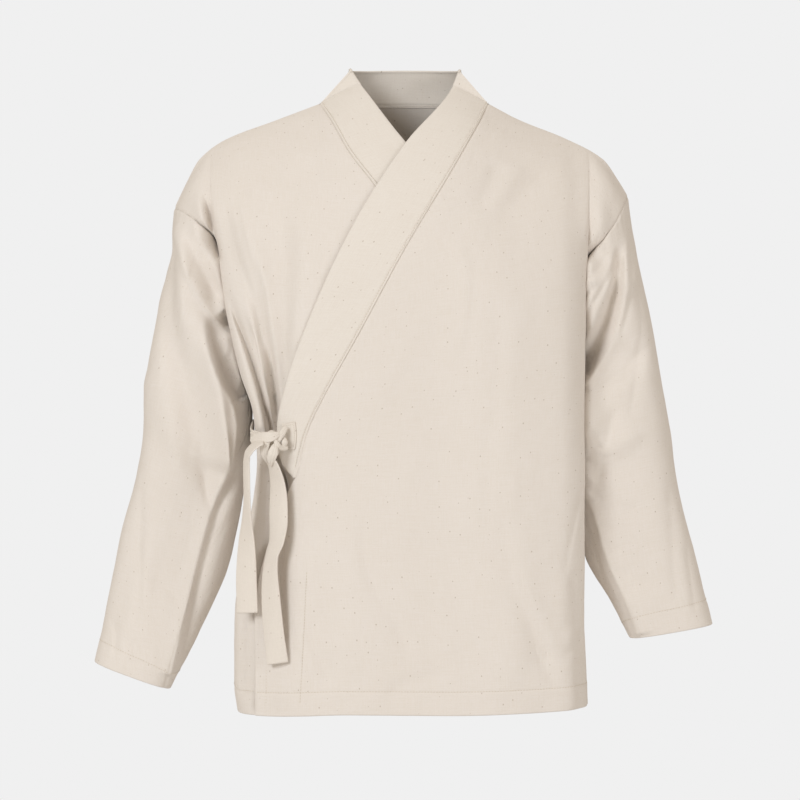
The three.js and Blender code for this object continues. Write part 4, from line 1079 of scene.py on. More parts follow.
@dataclass(frozen=True)
class Calico:
    """Undyed plain-woven cotton: cream threads with slubs, and small dark flecks of seed."""

    name: str
    cream: tuple = (0.805, 0.758, 0.716)
    straw: tuple = (0.762, 0.706, 0.642)
    fleck: tuple = (0.33, 0.25, 0.17)
    pitch: float = 0.95  # from one thread to the next, in millimetres
    fleck_cells: float = 84.0  # cells a metre that may hold a fleck
    grain: float = 0.5  # share of the slubs' streaks in the colour
    weave_height: float = 0.16  # millimetres
    roughness: float = 0.9

    def material(self) -> bpy.types.Material:
        """Builds the material."""
        s = Shader(self.name)
        at = s.node("ShaderNodeUVMap", {"uv_map": "cloth"}, {}, 0)
        parts = s.node("ShaderNodeSeparateXYZ", {}, {0: at}, 0)
        u, v = parts, Signal(s, parts.socket.node.outputs[1])
        turn = math.pi / (self.pitch * MM)
        wander = s.noise(at, 120.0, 1.0) * 0.9
        warp, weft = (u * turn + wander * 2.0).sine(), (v * turn + wander * 2.6).sine()
        crossing = warp * weft
        threads = warp.size() * (crossing * 0.5 + 0.5) + weft.size() * (0.5 - crossing * 0.5)
        slub_down = s.noise(s.stretched(at, 900.0, 42.0), 1.0, 1.0)
        slub_across = s.noise(s.stretched(at, 36.0, 820.0), 1.0, 1.0)
        grain = (slub_down + slub_across) * 0.5
        mottle = s.noise(at, 420.0, 3.0, 0.65)
        cloud = s.noise(at, 9.0, 2.0)
        tone = (grain - 0.5) * (2.6 * self.grain) + (mottle - 0.5) * 0.7 + (cloud - 0.5) * 0.35 + 0.42
        colour = s.blend(tone.step(0.0, 1.0), opaque(self.cream), opaque(self.straw))
        cells = s.node(
            "ShaderNodeTexVoronoi",
            {"voronoi_dimensions": "2D", "feature": "F1"},
            {"Vector": s.stretched(at, 1.0, 0.75), "Scale": self.fleck_cells, "Randomness": 1.0},
            "Distance",
        )
        chance = s.node("ShaderNodeSeparateColor", {}, {0: Signal(s, cells.socket.node.outputs["Color"])}, 0)
        speck = 1.0 - (cells - (chance * 0.1 - 0.05)).step(0.0, 0.028)
        faint = chance.step(0.45, 1.0)
        colour = s.blend(speck * (faint * 0.4 + 0.08), colour, opaque(self.fleck))
        height = threads * 0.55 + grain * 0.9 + mottle * 0.5
        weave = {"Strength": 0.55, "Distance": self.weave_height * MM, "Height": height}
        bump = s.node("ShaderNodeBump", {}, weave)
        soft = s.noise(at, 30.0, 3.0, 0.55)
        bump = s.node(
            "ShaderNodeBump", {}, {"Strength": 0.5, "Distance": 0.0022, "Height": soft, "Normal": bump}
        )
        rough = threads * 0.06 + (self.roughness - 0.03)
        cloth = s.node(
            "ShaderNodeBsdfPrincipled",
            {},
            {
                "Base Color": colour,
                "Roughness": rough,
                "Normal": bump,
                "Specular IOR Level": 0.25,
                "Sheen Weight": 0.12,
                "Sheen Roughness": 0.6,
                "Sheen Tint": opaque((1.0, 0.97, 0.92)),
            },
        )
        return s.finished(cloth)


@dataclass(frozen=True)
class Thread:
    """Cotton sewing thread, a little darker than the cloth, with its twist."""

    name: str = "sewing_thread"
    colour: tuple = (0.74, 0.68, 0.59)
    shade: tuple = (0.63, 0.56, 0.46)

    def material(self) -> bpy.types.Material:
        """Builds the material."""
        s = Shader(self.name)
        at = s.node("ShaderNodeTexCoord", {}, {}, "Object")
        ply = s.noise(at, 1500.0, 2.0)
        colour = s.blend(ply, opaque(self.colour), opaque(self.shade))
        bump = s.node("ShaderNodeBump", {}, {"Strength": 0.4, "Distance": 0.0002, "Height": ply})
        inputs = {"Base Color": colour, "Roughness": ply * 0.2 + 0.7, "Normal": bump}
        return s.finished(s.node("ShaderNodeBsdfPrincipled", {}, inputs))


@dataclass(frozen=True)
class Paper:
    """Matt studio paper for the floor."""

    name: str = "studio_paper"
    colour: tuple = (0.84, 0.84, 0.84)

    def material(self) -> bpy.types.Material:
        """Builds the material."""
        s = Shader(self.name)
        at = s.node("ShaderNodeTexCoord", {}, {}, "Object")
        tone = s.noise(at, 60.0, 3.0)
        colour = s.blend(tone, opaque(self.colour), opaque([c * 0.985 for c in self.colour]))
        return s.finished(s.node("ShaderNodeBsdfPrincipled", {}, {"Base Color": colour, "Roughness": 0.95}))


class Slot(Enum):
    """The record's material slots."""

    BODY = "calico"
    COLLAR = "collar_calico"
    TIE = "tie_calico"


class Held(Enum):
    """How a sheet of cloth is held."""

    HUNG = "hung"
    FOLDED = "folded"
    STRETCHED = "stretched"


@dataclass
class Wardrobe:
    """The materials, made once each."""

    body: bpy.types.Material = field(default_factory=lambda: Calico("calico_body").material())
    band: bpy.types.Material = field(
        default_factory=lambda: Calico("calico_band", cream=(0.82, 0.777, 0.725), grain=0.42).material()
    )
    tie: bpy.types.Material = field(
        default_factory=lambda: Calico("calico_tie", cream=(0.81, 0.757, 0.693), grain=0.4).material()
    )
    thread: bpy.types.Material = field(default_factory=lambda: Thread().material())


def declare(piece: bpy.types.Object, slot: Slot, *nodes: str) -> bpy.types.Object:
    """Lets a piece ride on the jacket and stand for its nodes.

    Args:
        piece: the object.
        slot: the finish's slot; not used.
        nodes: the solids it stands for.

    Returns:
        The piece.
    """
    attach(piece, "root")
    if nodes:
        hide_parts(*nodes)
    log.info("%s: %d faces", piece.name, len(piece.data.polygons))
    return piece


# ---- panels ----
@dataclass(frozen=True)
class Cut:
    """A piece's flat cut: the rectangle it comes from, and its area, in metres."""

    width: float
    length: float
    area: Optional[float] = None
    held: Held = Held.HUNG

    def state(self, piece: bpy.types.Object, with_pieces: Sequence[bpy.types.Object] = ()) -> None:
        """Args:
            piece: the object; not used.
            with_pieces: further pieces of the same sheet; not used.
        """


def seam_dip(distance: Array, depth: float = 1.0, reach: float = 1.6) -> Array:
    """How far the cloth sinks beside a seam: depth at the seam, fading as exp(-(d/reach)^2)."""
    return -depth * np.exp(-((distance / reach) ** 2))


def pucker(distance: Array, along: Array, height: float, wave: float, seed: int) -> Array:
    """Small ripples square to a seam, which fade away from it and whose spacing wanders."""
    phase = along / wave * 2 * math.pi + 2.5 * rumple(along, 0 * along, 38.0, seed)
    strength = 0.55 + 0.45 * rumple(along, 0 * along + 50.0, 60.0, seed + 1)
    return height * strength * np.sin(phase) * np.exp(-distance / (0.75 * wave))


def hem_relief(distance: Array, along: Array, seed: int, strength: float = 1.0) -> Array:
    """The turned hem: a little proud up to its line of stitches, which lies in a groove.

    Args:
        distance: from the hem's edge.
        along: along the edge.
        seed: start of the random numbers.
        strength: share of the full relief.

    Returns:
        The way out, in millimetres.
    """
    step = 0.45 * (1 - smooth(distance, HEM_DEPTH - 1.5, HEM_DEPTH + 2.5))
    groove = seam_dip(distance - HEM_DEPTH, 0.55, 1.2)
    drag = pucker(np.abs(distance - HEM_DEPTH), along, 0.22, 15.0, seed)
    return strength * (step + groove + drag)


def soft_rumple(cloth: Array, height: float, seed: int) -> Array:
    """The cloth's own unevenness: three sizes of soft hills, longer down the threads.

    Args:
        cloth: places along the cloth.
        height: height of the hills.
        seed: start of the random numbers.

    Returns:
        The way out, in millimetres.
    """
    u, v = cloth[..., 0] + 4000.0, cloth[..., 1] + 4000.0
    wide = rumple(u, v * 0.55, 64.0, seed)
    middle = rumple(u + 0.3 * v, v * 0.6, 27.0, seed + 1)
    small = rumple(u, v * 0.8, 11.0, seed + 2)
    return height * (0.55 * wide + 0.33 * middle + 0.12 * small)


@dataclass
class Panel:
    """A panel of the body: its grid, its relief, its cloth and its stitches."""

    node: str
    cut: Cut
    wall: float = CLOTH_WALL
    rumple_height: float = 1.5
    seed: int = 1
    creases: tuple = ()
    thread_column: int = 0  # the column from which the threads are measured, once the grid is made

    def grid(self) -> Array:
        """The outer points."""
        raise NotImplementedError

    def relief(self, grid: Array, cloth: Array) -> Array:
        """How far each point is moved out along its normal.

        Args:
            grid: the outer points.
            cloth: their places along the cloth.

        Returns:
            The way out, in millimetres.
        """
        raise NotImplementedError

    def thickness(self, grid: Array) -> Array:
        """Thickness at each point."""
        return np.full(grid.shape[:2], self.wall)

    def tucked(self, grid: Array, cloth: Array) -> tuple[Array, Array]:
        """The grid and its cloth with the turnings of its seams; a panel without any is left as it is."""
        return grid, cloth

    def untucked(self, grid: Array) -> Array:
        """The grid without its turnings."""
        return grid


def turning(edge: Array, side: Side) -> Array:
    """The turnings' other edge for a seam's points: towards the armhole's middle, or into the body.

    Args:
        edge: the seam's points.
        side: the side it is on.

    Returns:
        The turnings' points.
    """
    middle = np.array(ARMHOLE_MIDDLE) * (side.sign, 1, 1)
    below = smooth(-edge[:, 2:], -UNDERARM_Z - 4, -UNDERARM_Z + 6)
    inward = lerp(unit(middle - edge), np.array([-side.sign, 0.0, 0.0]), below)
    return edge + SEAM_TUCK * unit(inward)


@dataclass
class FrontPanel(Panel):
    """A front: from the collar seam or its free edge to the side seam and the armhole."""

    over: bool = True
    columns: int = OVER_COLUMNS
    closer: tuple = ()  # further columns, as shares of the way across

    def surface(self, x: Array, z: Array) -> Array:
        """The front's surface; the over one stands off the under one."""
        folds = OVER_FOLDS if self.over else UNDER_FOLDS
        return FORM.point(x, z, True, folds, over_lift(x, z) if self.over else 0.0)

    @property
    def side(self) -> Side:
        """The side that it is sewn to."""
        return LEFT if self.over else RIGHT

    def start(self) -> Array:
        """x of the inner edge at each row."""
        seam = tracks(OVER_BAND if self.over else UNDER_BAND)[0]
        edge = tracks(OVER_EDGE if self.over else UNDER_EDGE)[0]
        return ROWS.meet(lambda z: np.where(z > COLLAR_END_Z, seam(z), edge(z)))

    def grid(self) -> Array:
        """Rows by columns, from the inner edge to the seam."""
        strip = side_strip(self.side, True, self.surface)
        edge_x = strip(np.zeros((1, 1)))[..., 0]
        start = self.start()

        def across(t: Array) -> Array:
            """Points from the inner edge to the fold edge."""
            x = lerp(start, edge_x, t)
            return self.surface(x, ROWS.z_at(x, FORM.shoulder_z))

        shares = spread(self.columns * FINE, EDGE_SHARES + self.closer)
        body = across(settled(evenly(across, shares)))
        side = strip(evenly(strip, SIDE_SHARES)[:, 1:])
        self.thread_column = body.shape[1] - 1
        return np.concatenate([self.rounded(body, side), side], axis=1)

    def rounded(self, body: Array, side: Array) -> Array:
        """The body with its last columns laid evenly round to the side, where the hips widen it.

        Args:
            body: columns up to the fold edge.
            side: columns of the side strip.

        Returns:
            The body's columns.
        """
        steps = 4
        t = (np.arange(1, steps) / steps)[None, :, None]
        first, last = body[:, -5:-4], body[:, -1:]
        leave, meet = steps * (first - body[:, -6:-5]), steps * (side[:, :1] - last)
        curve = first * (2 * t**3 - 3 * t**2 + 1) + leave * (t**3 - 2 * t**2 + t)
        curve = curve + last * (3 * t**2 - 2 * t**3) + meet * (t**3 - t**2)
        out = body.copy()
        out[:, -steps:-1] = lerp(body[:, -steps:-1], curve, smooth(-last[..., 2:], *HIPS))
        return out

    def relief(self, grid: Array, cloth: Array) -> Array:
        """Seams, hem, turned edge and the cloth's unevenness."""
        across, along = lengths_across(grid), lengths_along(grid)
        from_inner, from_seam = across, across[:, -1:] - across
        from_hem = along[-1:] - along
        above = np.arange(len(grid))[:, None] < ROWS.waist
        out = soft_rumple(cloth, self.rumple_height, self.seed)
        out *= smooth(from_seam, 0, 24) * smooth(along, 0, 18) * smooth(from_inner, 2, 26)
        out += seam_dip(from_seam, 1.1, 1.7)
        out += pucker(from_seam, along, 0.42, 13.0, self.seed + 7)
        out += np.where(above, seam_dip(from_inner, 0.9, 1.3), 0.0)
        out += np.where(above, pucker(from_inner, along, 0.14, 11.0, self.seed + 9), 0.0)
        out += hem_relief(from_hem, cloth[..., 0], self.seed + 11) * smooth(from_inner, 0, 4)
        if self.over:
            below = ~above & (from_hem < 125)
            out += np.where(below, seam_dip(from_inner - 11.5, 0.45, 1.1), 0.0)
        return out

    def tucked(self, grid: Array, cloth: Array) -> tuple[Array, Array]:
        """Adds the turnings of the armhole and the side seam."""
        step = np.array([SEAM_TUCK, 0.0])
        grid = np.concatenate([grid, turning(grid[:, -1], self.side)[:, None]], axis=1)
        return grid, np.concatenate([cloth, cloth[:, -1:] + step], axis=1)

    def untucked(self, grid: Array) -> Array:
        """The grid without its turnings."""
        return grid[:, :-1]

    def stitch_paths(self, grid: Array, normal: Array) -> list[tuple[Array, Array]]:
        """Runs of stitches: along the hem, and on the over front beside its free edge."""
        runs = [(grid[ROWS.hem_row, 2:], normal[ROWS.hem_row, 2:])]
        if self.over:
            for line, count in ((INNER_STITCHES, INNER_POINTS), (EDGE_STITCHES, EDGE_POINTS)):
                line_z, line_x = zip(*line)
                z = np.linspace(line_z[-1], line_z[0], count)
                runs.append(self.place(grid, normal, np.interp(z, line_z, line_x), z))
        return runs

    def place(self, grid: Array, normal: Array, x: Array, z: Array) -> tuple[Array, Array]:
        """Points of the finished cloth at given x and z, taken from the nearest places of the grid.

        Args:
            grid: the finished points.
            normal: their normals.
            x: across the jacket.
            z: height.

        Returns:
            The points and their normals.
        """
        flat = grid[:, : self.thread_column].reshape(-1, 3)
        near = np.argmin((flat[:, 0] - x[:, None]) ** 2 + (flat[:, 2] - z[:, None]) ** 2, axis=1)
        faced = normal[:, : self.thread_column].reshape(-1, 3)[near]
        y = np.convolve(np.pad(flat[near, 1], 4, mode="edge"), np.ones(9) / 9, mode="valid")
        return stack(x, y, z), faced


def over_lift(x: Array, z: Array) -> Array:
    """How far the over layer stands off: nothing at the shoulder line and the wearer's left side."""
    return OVERLAP_LIFT * smooth(FORM.shoulder_z(x) - z, 2, 44) * (1 - smooth(x, 180, 212))


@dataclass
class BackPanel(Panel):
    """The back: one piece from side seam to side seam, cut out for the neck."""

    def surface(self, x: Array, z: Array) -> Array:
        """The back's surface."""
        return FORM.point(x, z, False, BACK_FOLDS)

    def grid(self) -> Array:
        """Rows by columns, from the wearer's left seam to the right."""

        def at(x: Array) -> Array:
            """Points of the back at x on every row."""
            return self.surface(x, ROWS.z_at(x, FORM.back_top_z))

        halves = []
        for side in (LEFT, RIGHT):
            strip = side_strip(side, False, self.surface)
            edge_x = strip(np.zeros((1, 1)))[..., 0]

            def across(t: Array, sign: int = side.sign, edge: Array = edge_x) -> Array:
                """Points from the neck's side to the fold edge."""
                return at(lerp(sign * NECK_HALF, edge, t))

            body = across(evenly(across, spread(5 * FINE)))
            halves.append(np.concatenate([body, strip(evenly(strip, SIDE_SHARES)[:, 1:])], axis=1))
        angle = np.linspace(0, math.pi, 10 * FINE + 1)[1:-1]
        middle = at(NECK_HALF * np.cos(angle)[None, :] + 0 * ROWS.z)
        self.thread_column = halves[0].shape[1] + middle.shape[1] // 2
        return np.concatenate([halves[0][:, ::-1], middle, halves[1]], axis=1)

    def relief(self, grid: Array, cloth: Array) -> Array:
        """Seams, hem and the cloth's unevenness."""
        across, along = lengths_across(grid), lengths_along(grid)
        from_seam = np.minimum(across, across[:, -1:] - across)
        from_hem = along[-1:] - along
        in_neck = np.abs(grid[:1, :, 0]) < NECK_HALF
        out = soft_rumple(cloth, self.rumple_height, self.seed)
        out *= smooth(from_seam, 0, 24) * smooth(along, 0, 24)
        out += seam_dip(from_seam, 1.1, 1.7) + pucker(from_seam, along, 0.42, 13.0, self.seed + 7)
        out += np.where(in_neck, seam_dip(along, 0.9, 1.3), 0.0)
        return out + hem_relief(from_hem, cloth[..., 0], self.seed + 11)

    def tucked(self, grid: Array, cloth: Array) -> tuple[Array, Array]:
        """Adds the turnings of both armholes and side seams."""
        step = np.array([SEAM_TUCK, 0.0])
        ends = (turning(grid[:, 0], LEFT)[:, None], grid, turning(grid[:, -1], RIGHT)[:, None])
        return np.concatenate(ends, axis=1), np.concatenate(
            [cloth[:, :1] - step, cloth, cloth[:, -1:] + step], axis=1
        )

    def untucked(self, grid: Array) -> Array:
        """The grid without its turnings."""
        return grid[:, 1:-1]

    def stitch_paths(self, grid: Array, normal: Array) -> list[tuple[Array, Array]]:
        """The run of stitches along the hem."""
        return [(grid[ROWS.hem_row], normal[ROWS.hem_row])]


@dataclass(frozen=True)
class SleeveFold:
    """A fold on a sleeve: places round it in degrees and shares of its length, half width and rise."""

    at0: float
    down0: float
    at1: float
    down1: float
    half: float
    rise: float
    power: float = 2.0


LEFT_SLEEVE_FOLDS = (
    SleeveFold(140, 0.02, 60, 0.16, 17, 8),
    SleeveFold(150, 0.16, 78, 0.34, 20, -11),
    SleeveFold(150, 0.3, 96, 0.52, 20, 8),
    SleeveFold(116, 0.5, 112, 0.86, 20, -6),
    SleeveFold(300, 0.1, 240, 0.5, 22, -7),
    SleeveFold(290, 0.4, 262, 0.8, 22, 6),
)
RIGHT_SLEEVE_FOLDS = (
    SleeveFold(42, 0.0, 112, 0.3, 18, 10),
    SleeveFold(30, 0.1, 100, 0.42, 22, -9),
    SleeveFold(112, 0.4, 96, 0.74, 20, -5),
    SleeveFold(60, 0.5, 50, 0.95, 22, -4),
    SleeveFold(300, 0.1, 240, 0.5, 22, -7),
    SleeveFold(280, 0.4, 262, 0.8, 22, 6),
)
# z, middle line out and y, half width, half depth, tilt, turn of the underarm seam
LEFT_SLEEVE_RINGS = (
    (-110, 236, 8, 42, 62, 4, 0), (-180, 243, 8, 42, 66, 6, 0), (-250, 248, 10, 46, 68, 8, 0),
    (-330, 253, 12, 54, 67, 10, -4), (-430, 260, 13, 64, 62, 11, -8),
    (-530, 280, 12, 64, 56, 11, -10), (-590, 304, 8, 55, 50, 10, -10), (-632, 320, 2, 50, 42, 10, -8),
)
RIGHT_SLEEVE_RINGS = (
    (-120, 240, 8, 42, 62, 2, 0), (-180, 246, 8, 42, 66, 4, 6), (-250, 250, 9, 48, 68, 8, 14),
    (-325, 249, 10, 60, 67, 10, 25), (-352, 248, 10, 66, 66, 10, 32), (-395, 248, 10, 66, 63, 11, 43),
    (-430, 252, 10, 65, 60, 12, 52), (-530, 274, 8, 67, 54, 14, 64),
    (-615, 300, 2, 58, 48, 17, 56), (-684, 325, -6, 48, 42, 20, 34),
)


@dataclass
class SleevePanel(Panel):
    """A sleeve: a tube from the armhole to the cuff, with its seam under the arm."""

    side: Side = LEFT
    rings: tuple = LEFT_SLEEVE_RINGS
    folds: tuple = LEFT_SLEEVE_FOLDS
    row_count: int = 21

    def tube(self, z: Array, degrees: Array, table: list) -> Array:
        """The tube at a height of its middle line and an angle, 0 outside and 90 in front.

        It is a flattened oval, half*|cos|^p by depth*|sin|^p, tilted with the arm.
        """
        out, y, half, depth, tilt, _ = (track(z) for track in table)
        angle, power = np.radians(degrees), 2 / SLEEVE_ROUND
        across = half * np.sign(np.cos(angle)) * np.abs(np.cos(angle)) ** power
        ahead = depth * np.sign(np.sin(angle)) * np.abs(np.sin(angle)) ** power
        lean = np.radians(tilt)
        return stack(self.side.sign * (out + across * np.cos(lean)), y - ahead, z + across * np.sin(lean))

    def grid(self) -> Array:
        """Rows from the armhole to the cuff, columns round from the underarm seam."""
        table = tracks(self.rings)
        top_z, cuff_z = self.rings[0][0], self.rings[-1][0]
        turn = np.linspace(0, 1, TURNS * FINE + 1)
        holes = (self.side.front_hole, self.side.back_hole)
        front, back = ([track(turn) for track in tracks(hole)] for hole in holes)
        hole = [np.concatenate([f, b[-2:0:-1]]) for f, b in zip(front, back)]
        degrees = np.concatenate([180 * turn, 180 + 180 * turn[1:-1]])[None, :]
        seam = stack(self.side.sign * hole[0], hole[1], hole[2])[None]
        hem = 1 - HEM_DEPTH / SLEEVE_LENGTH
        close = (0.002, 0.004, 0.006, hem - 0.002, hem, hem + 0.002, 0.998)
        down = spread(self.row_count * FINE, close)
        down = down[:, None] ** 0.92
        first_z = np.minimum(seam[..., 2], top_z)
        z = lerp(first_z, cuff_z, down)
        twist = -table[5](z) * smooth(down, 0.02, 0.3)
        place = self.tube(z, degrees + twist, table)
        hold = 1 - smooth(down, 0, SEAM_REACH)
        place = place + (seam - self.tube(first_z, degrees, table)) * hold[..., None]
        centre = stack(self.side.sign * table[0](z), table[1](z), place[..., 2])
        facing = unit(place - centre)
        rise = np.zeros(z.shape)
        for fold in self.folds:
            share = np.clip((down - fold.down0) / (fold.down1 - fold.down0), 0, 1)
            gap = degrees + twist - lerp(fold.at0, fold.at1, share)
            away = np.abs((gap + 540) % 360 - 180) * math.pi * table[2](z) / 180
            past = np.maximum(np.maximum(fold.down0 - down, down - fold.down1), 0) * SLEEVE_LENGTH
            rise = rise + fold.rise * np.exp(-((np.hypot(away, past) / fold.half) ** fold.power))
        rise = rise * smooth(down, 0.01, 0.08) * (1 - smooth(down, 0.9, 1))
        place = place + facing * rise[..., None]
        out = self.side.sign * place[..., 0]
        clear = np.maximum(FORM.side_out(self.side, place[..., 1], place[..., 2]) + SLEEVE_CLEAR, out)
        place[..., 0] = self.side.sign * lerp(out, clear, smooth(down, 0, 0.04))
        place[0] = seam[0]
        return np.roll(place, -TURNS * FINE, axis=1)

    def relief(self, grid: Array, cloth: Array) -> Array:
        """Armhole seam, underarm seam, cuff and the cloth's unevenness."""
        along = lengths_along(grid)
        u = cloth[:, :-1, 0]
        half = np.max(np.abs(cloth[..., 0]), axis=1, keepdims=True)
        from_underarm = half - np.abs(u)
        from_cuff = along[-1:] - along
        out = soft_rumple(cloth[:, :-1], self.rumple_height, self.seed)
        out *= smooth(along, 0, 26) * smooth(from_underarm, 0, 22) * smooth(from_cuff, 0, 20)
        out += seam_dip(along, 1.3, 1.8) + pucker(along, u, 0.5, 14.0, self.seed + 3)
        out += seam_dip(from_underarm, 0.9, 3.0) + pucker(from_underarm, along, 0.45, 17.0, self.seed + 5)
        return out + hem_relief(from_cuff, u, self.seed + 11, 0.6)

    def tucked(self, grid: Array, cloth: Array) -> tuple[Array, Array]:
        """Adds the turnings of the armhole."""
        step = np.array([0.0, SEAM_TUCK])
        grid = np.concatenate([turning(grid[0], self.side)[None], grid])
        return grid, np.concatenate([cloth[:1] - step, cloth])

    def untucked(self, grid: Array) -> Array:
        """The grid without its turnings."""
        return grid[1:]

    def stitch_paths(self, grid: Array, normal: Array) -> list[tuple[Array, Array]]:
        """The run of stitches round the cuff."""
        along = lengths_along(grid)
        row = int(np.argmin(np.abs(np.mean(along[-1:] - along, axis=1) - HEM_DEPTH)))
        path, out = (np.concatenate([a[row], a[row, :1]]) for a in (grid, normal))
        return [(path, out)]


@dataclass
class CollarBand(Panel):
    """The collar: one long band, folded double, from one front's overlap round the neck to the other's."""

    wall: float = COLLAR_WALL
    over: Optional[FrontPanel] = None
    under: Optional[FrontPanel] = None
    back: Optional[BackPanel] = None
    shares: Array = field(
        default_factory=lambda: spread(22, (0.012, 0.022, 0.034, 0.05, 0.062, 0.074, 0.97, 0.985))
    )

    def band(self, table: tuple, surface: Callable, seam: Array) -> Array:
        """The band across a front, from the seam to its free edge, on the front's own surface.

        Args:
            table: rows of the seam and the free edge.
            surface: the front's surface.
            seam: the front's points at the seam.

        Returns:
            Rows and columns of points.
        """
        _, edge_x, edge_z = tracks(table)
        end_x, end_z = edge_x(seam[:, 2])[:, None], edge_z(seam[:, 2])[:, None]
        x = lerp(seam[:, :1], end_x, self.shares)
        z = lerp(seam[:, 2:], end_z, self.shares)
        rows = surface(x, z)
        rows[:, 0] = seam
        return rows

    def grid(self) -> Array:
        """Rows along the band, columns from the seam to the free edge."""
        top = slice(0, ROWS.waist)
        over = self.band(OVER_BAND, self.over.surface, self.over.grid()[top, 0])
        under = self.band(UNDER_BAND, self.under.surface, self.under.grid()[top, 0])
        angle = np.linspace(0, math.pi, 10 * FINE + 1)[1:-1]
        x = NECK_HALF * np.cos(angle)
        seam = self.back.surface(x, FORM.back_top_z(x))
        free = stack(
            lerp(BAND_RIGHT, BAND_LEFT, (1 + np.cos(angle)) / 2),
            RIDGE_Y + BAND_BACK * np.sin(angle),
            BAND_Z + BAND_RISE * np.sin(angle),
        )
        crown = 2.5 * np.sin(math.pi * self.shares)[None, :] * np.sin(angle)[:, None]
        neck = lerp(seam[:, None], free[:, None], self.shares[None, :, None])
        neck[..., 1] += crown
        return np.concatenate([over[::-1], neck, under])

    def relief(self, grid: Array, cloth: Array) -> Array:
        """The raised edge along the seam, its line of stitches and the fold of the free edge."""
        across, along = lengths_across(grid), lengths_along(grid)
        width = across[:, -1:]
        shoulder = np.hypot(np.abs(grid[:, :1, 0]) - NECK_HALF, grid[:, :1, 2])
        fade = smooth(width, 14, 30) * smooth(shoulder, 1, 16)
        edge = 0.95 * smooth(across, 0.1, 0.9) * (1 - smooth(across, 2.5, 3.4))
        out = seam_dip(across, 0.7, 0.6) + edge * fade
        out += seam_dip(across - COLLAR_STITCHES, 0.45, 0.6) * fade
        out += seam_dip(width - across, 0.7, 1.6)
        calm = smooth(across, 4, 16) * smooth(width - across, 1, 12) * fade
        out += 0.55 * soft_rumple(cloth, self.rumple_height, self.seed) * calm
        out += 0.25 * pucker(np.abs(across - COLLAR_STITCHES), along, 1.0, 9.0, self.seed + 2) * fade
        return out

    def stitch_paths(self, grid: Array, normal: Array) -> list[tuple[Array, Array]]:
        """The line of stitches just inside the raised edge."""
        across = lengths_across(grid)
        share = np.clip(COLLAR_STITCHES / np.maximum(across[:, -1], 1e-6), 0, 1)
        column = np.argmin(np.abs(across / np.maximum(across[:, -1:], 1e-6) - share[:, None]), axis=1)
        rows = np.arange(len(grid))
        wide = across[:, -1] > 20
        return [(grid[rows, column][wide], normal[rows, column][wide])]


def bound_panel(panel: Panel, slot: Slot, material: bpy.types.Material, wardrobe: Wardrobe,
                flip: bool, ring: bool = False) -> bpy.types.Object:
    """Args:
        panel: the panel.
        slot: its material slot.
        material: its cloth.
        wardrobe: the other materials.
        flip: whether its columns run the other way round.
        ring: whether it is a tube.

    Returns:
        The panel's object.
    """
    base = panel.grid()
    if ring:
        closed = np.concatenate([base, base[:, :1]], axis=1)
        cloth = cloth_uv(closed, closed.shape[1] // 2)
    else:
        cloth = cloth_uv(base, panel.thread_column)
    normal = grid_normals(base, ring, flip)
    grid = base + normal * panel.relief(base, cloth)[..., None]
    grid[..., 1] -= creased(panel.creases, base)
    grid, cloth = panel.tucked(grid, cloth)
    piece = shell(grid, panel.thickness(grid), cloth, flip, ring).object(panel.node + "_cloth", material)
    declare(piece, slot, panel.node)
    finished = grid_normals(grid, ring, flip)
    grid, finished = panel.untucked(grid), panel.untucked(finished)
    runs = [StitchRun().along(path, out) for path, out in panel.stitch_paths(grid, finished)]
    sewing = MeshParts.joined(runs).object(panel.node + "_stitches", wardrobe.thread)
    declare(sewing, slot)
    panel.cut.state(piece, [sewing])
    return piece


# ---- ties ----
# places on the drawing right and down, y, and the width that shows
OVER_TAIL = (
    (270.8, 462, -120, 12), (274, 470, -119, 14), (277, 484, -118, 17), (278, 500, -119, 19.5),
    (278, 520, -121, 20.5), (276, 540, -122, 18), (271, 556, -122, 16), (269.5, 575, -122, 18),
    (270.5, 600, -122, 21), (273, 630, -121, 23.5), (277.5, 663, -121, 24.7),
)
SIDE_TAIL = (
    (263, 440.5, -129, 7.5), (257, 443.5, -128, 8), (251, 448.5, -125, 8.5), (247, 455, -121, 7.4),
    (245.8, 464, -118, 6.4), (245.8, 482, -117, 6.2), (246, 500, -116, 7.6), (246, 520, -114, 12.5),
    (246, 540, -112, 18.5), (246, 578, -112, 23.4), (246.9, 612.5, -112, 24.7),
)


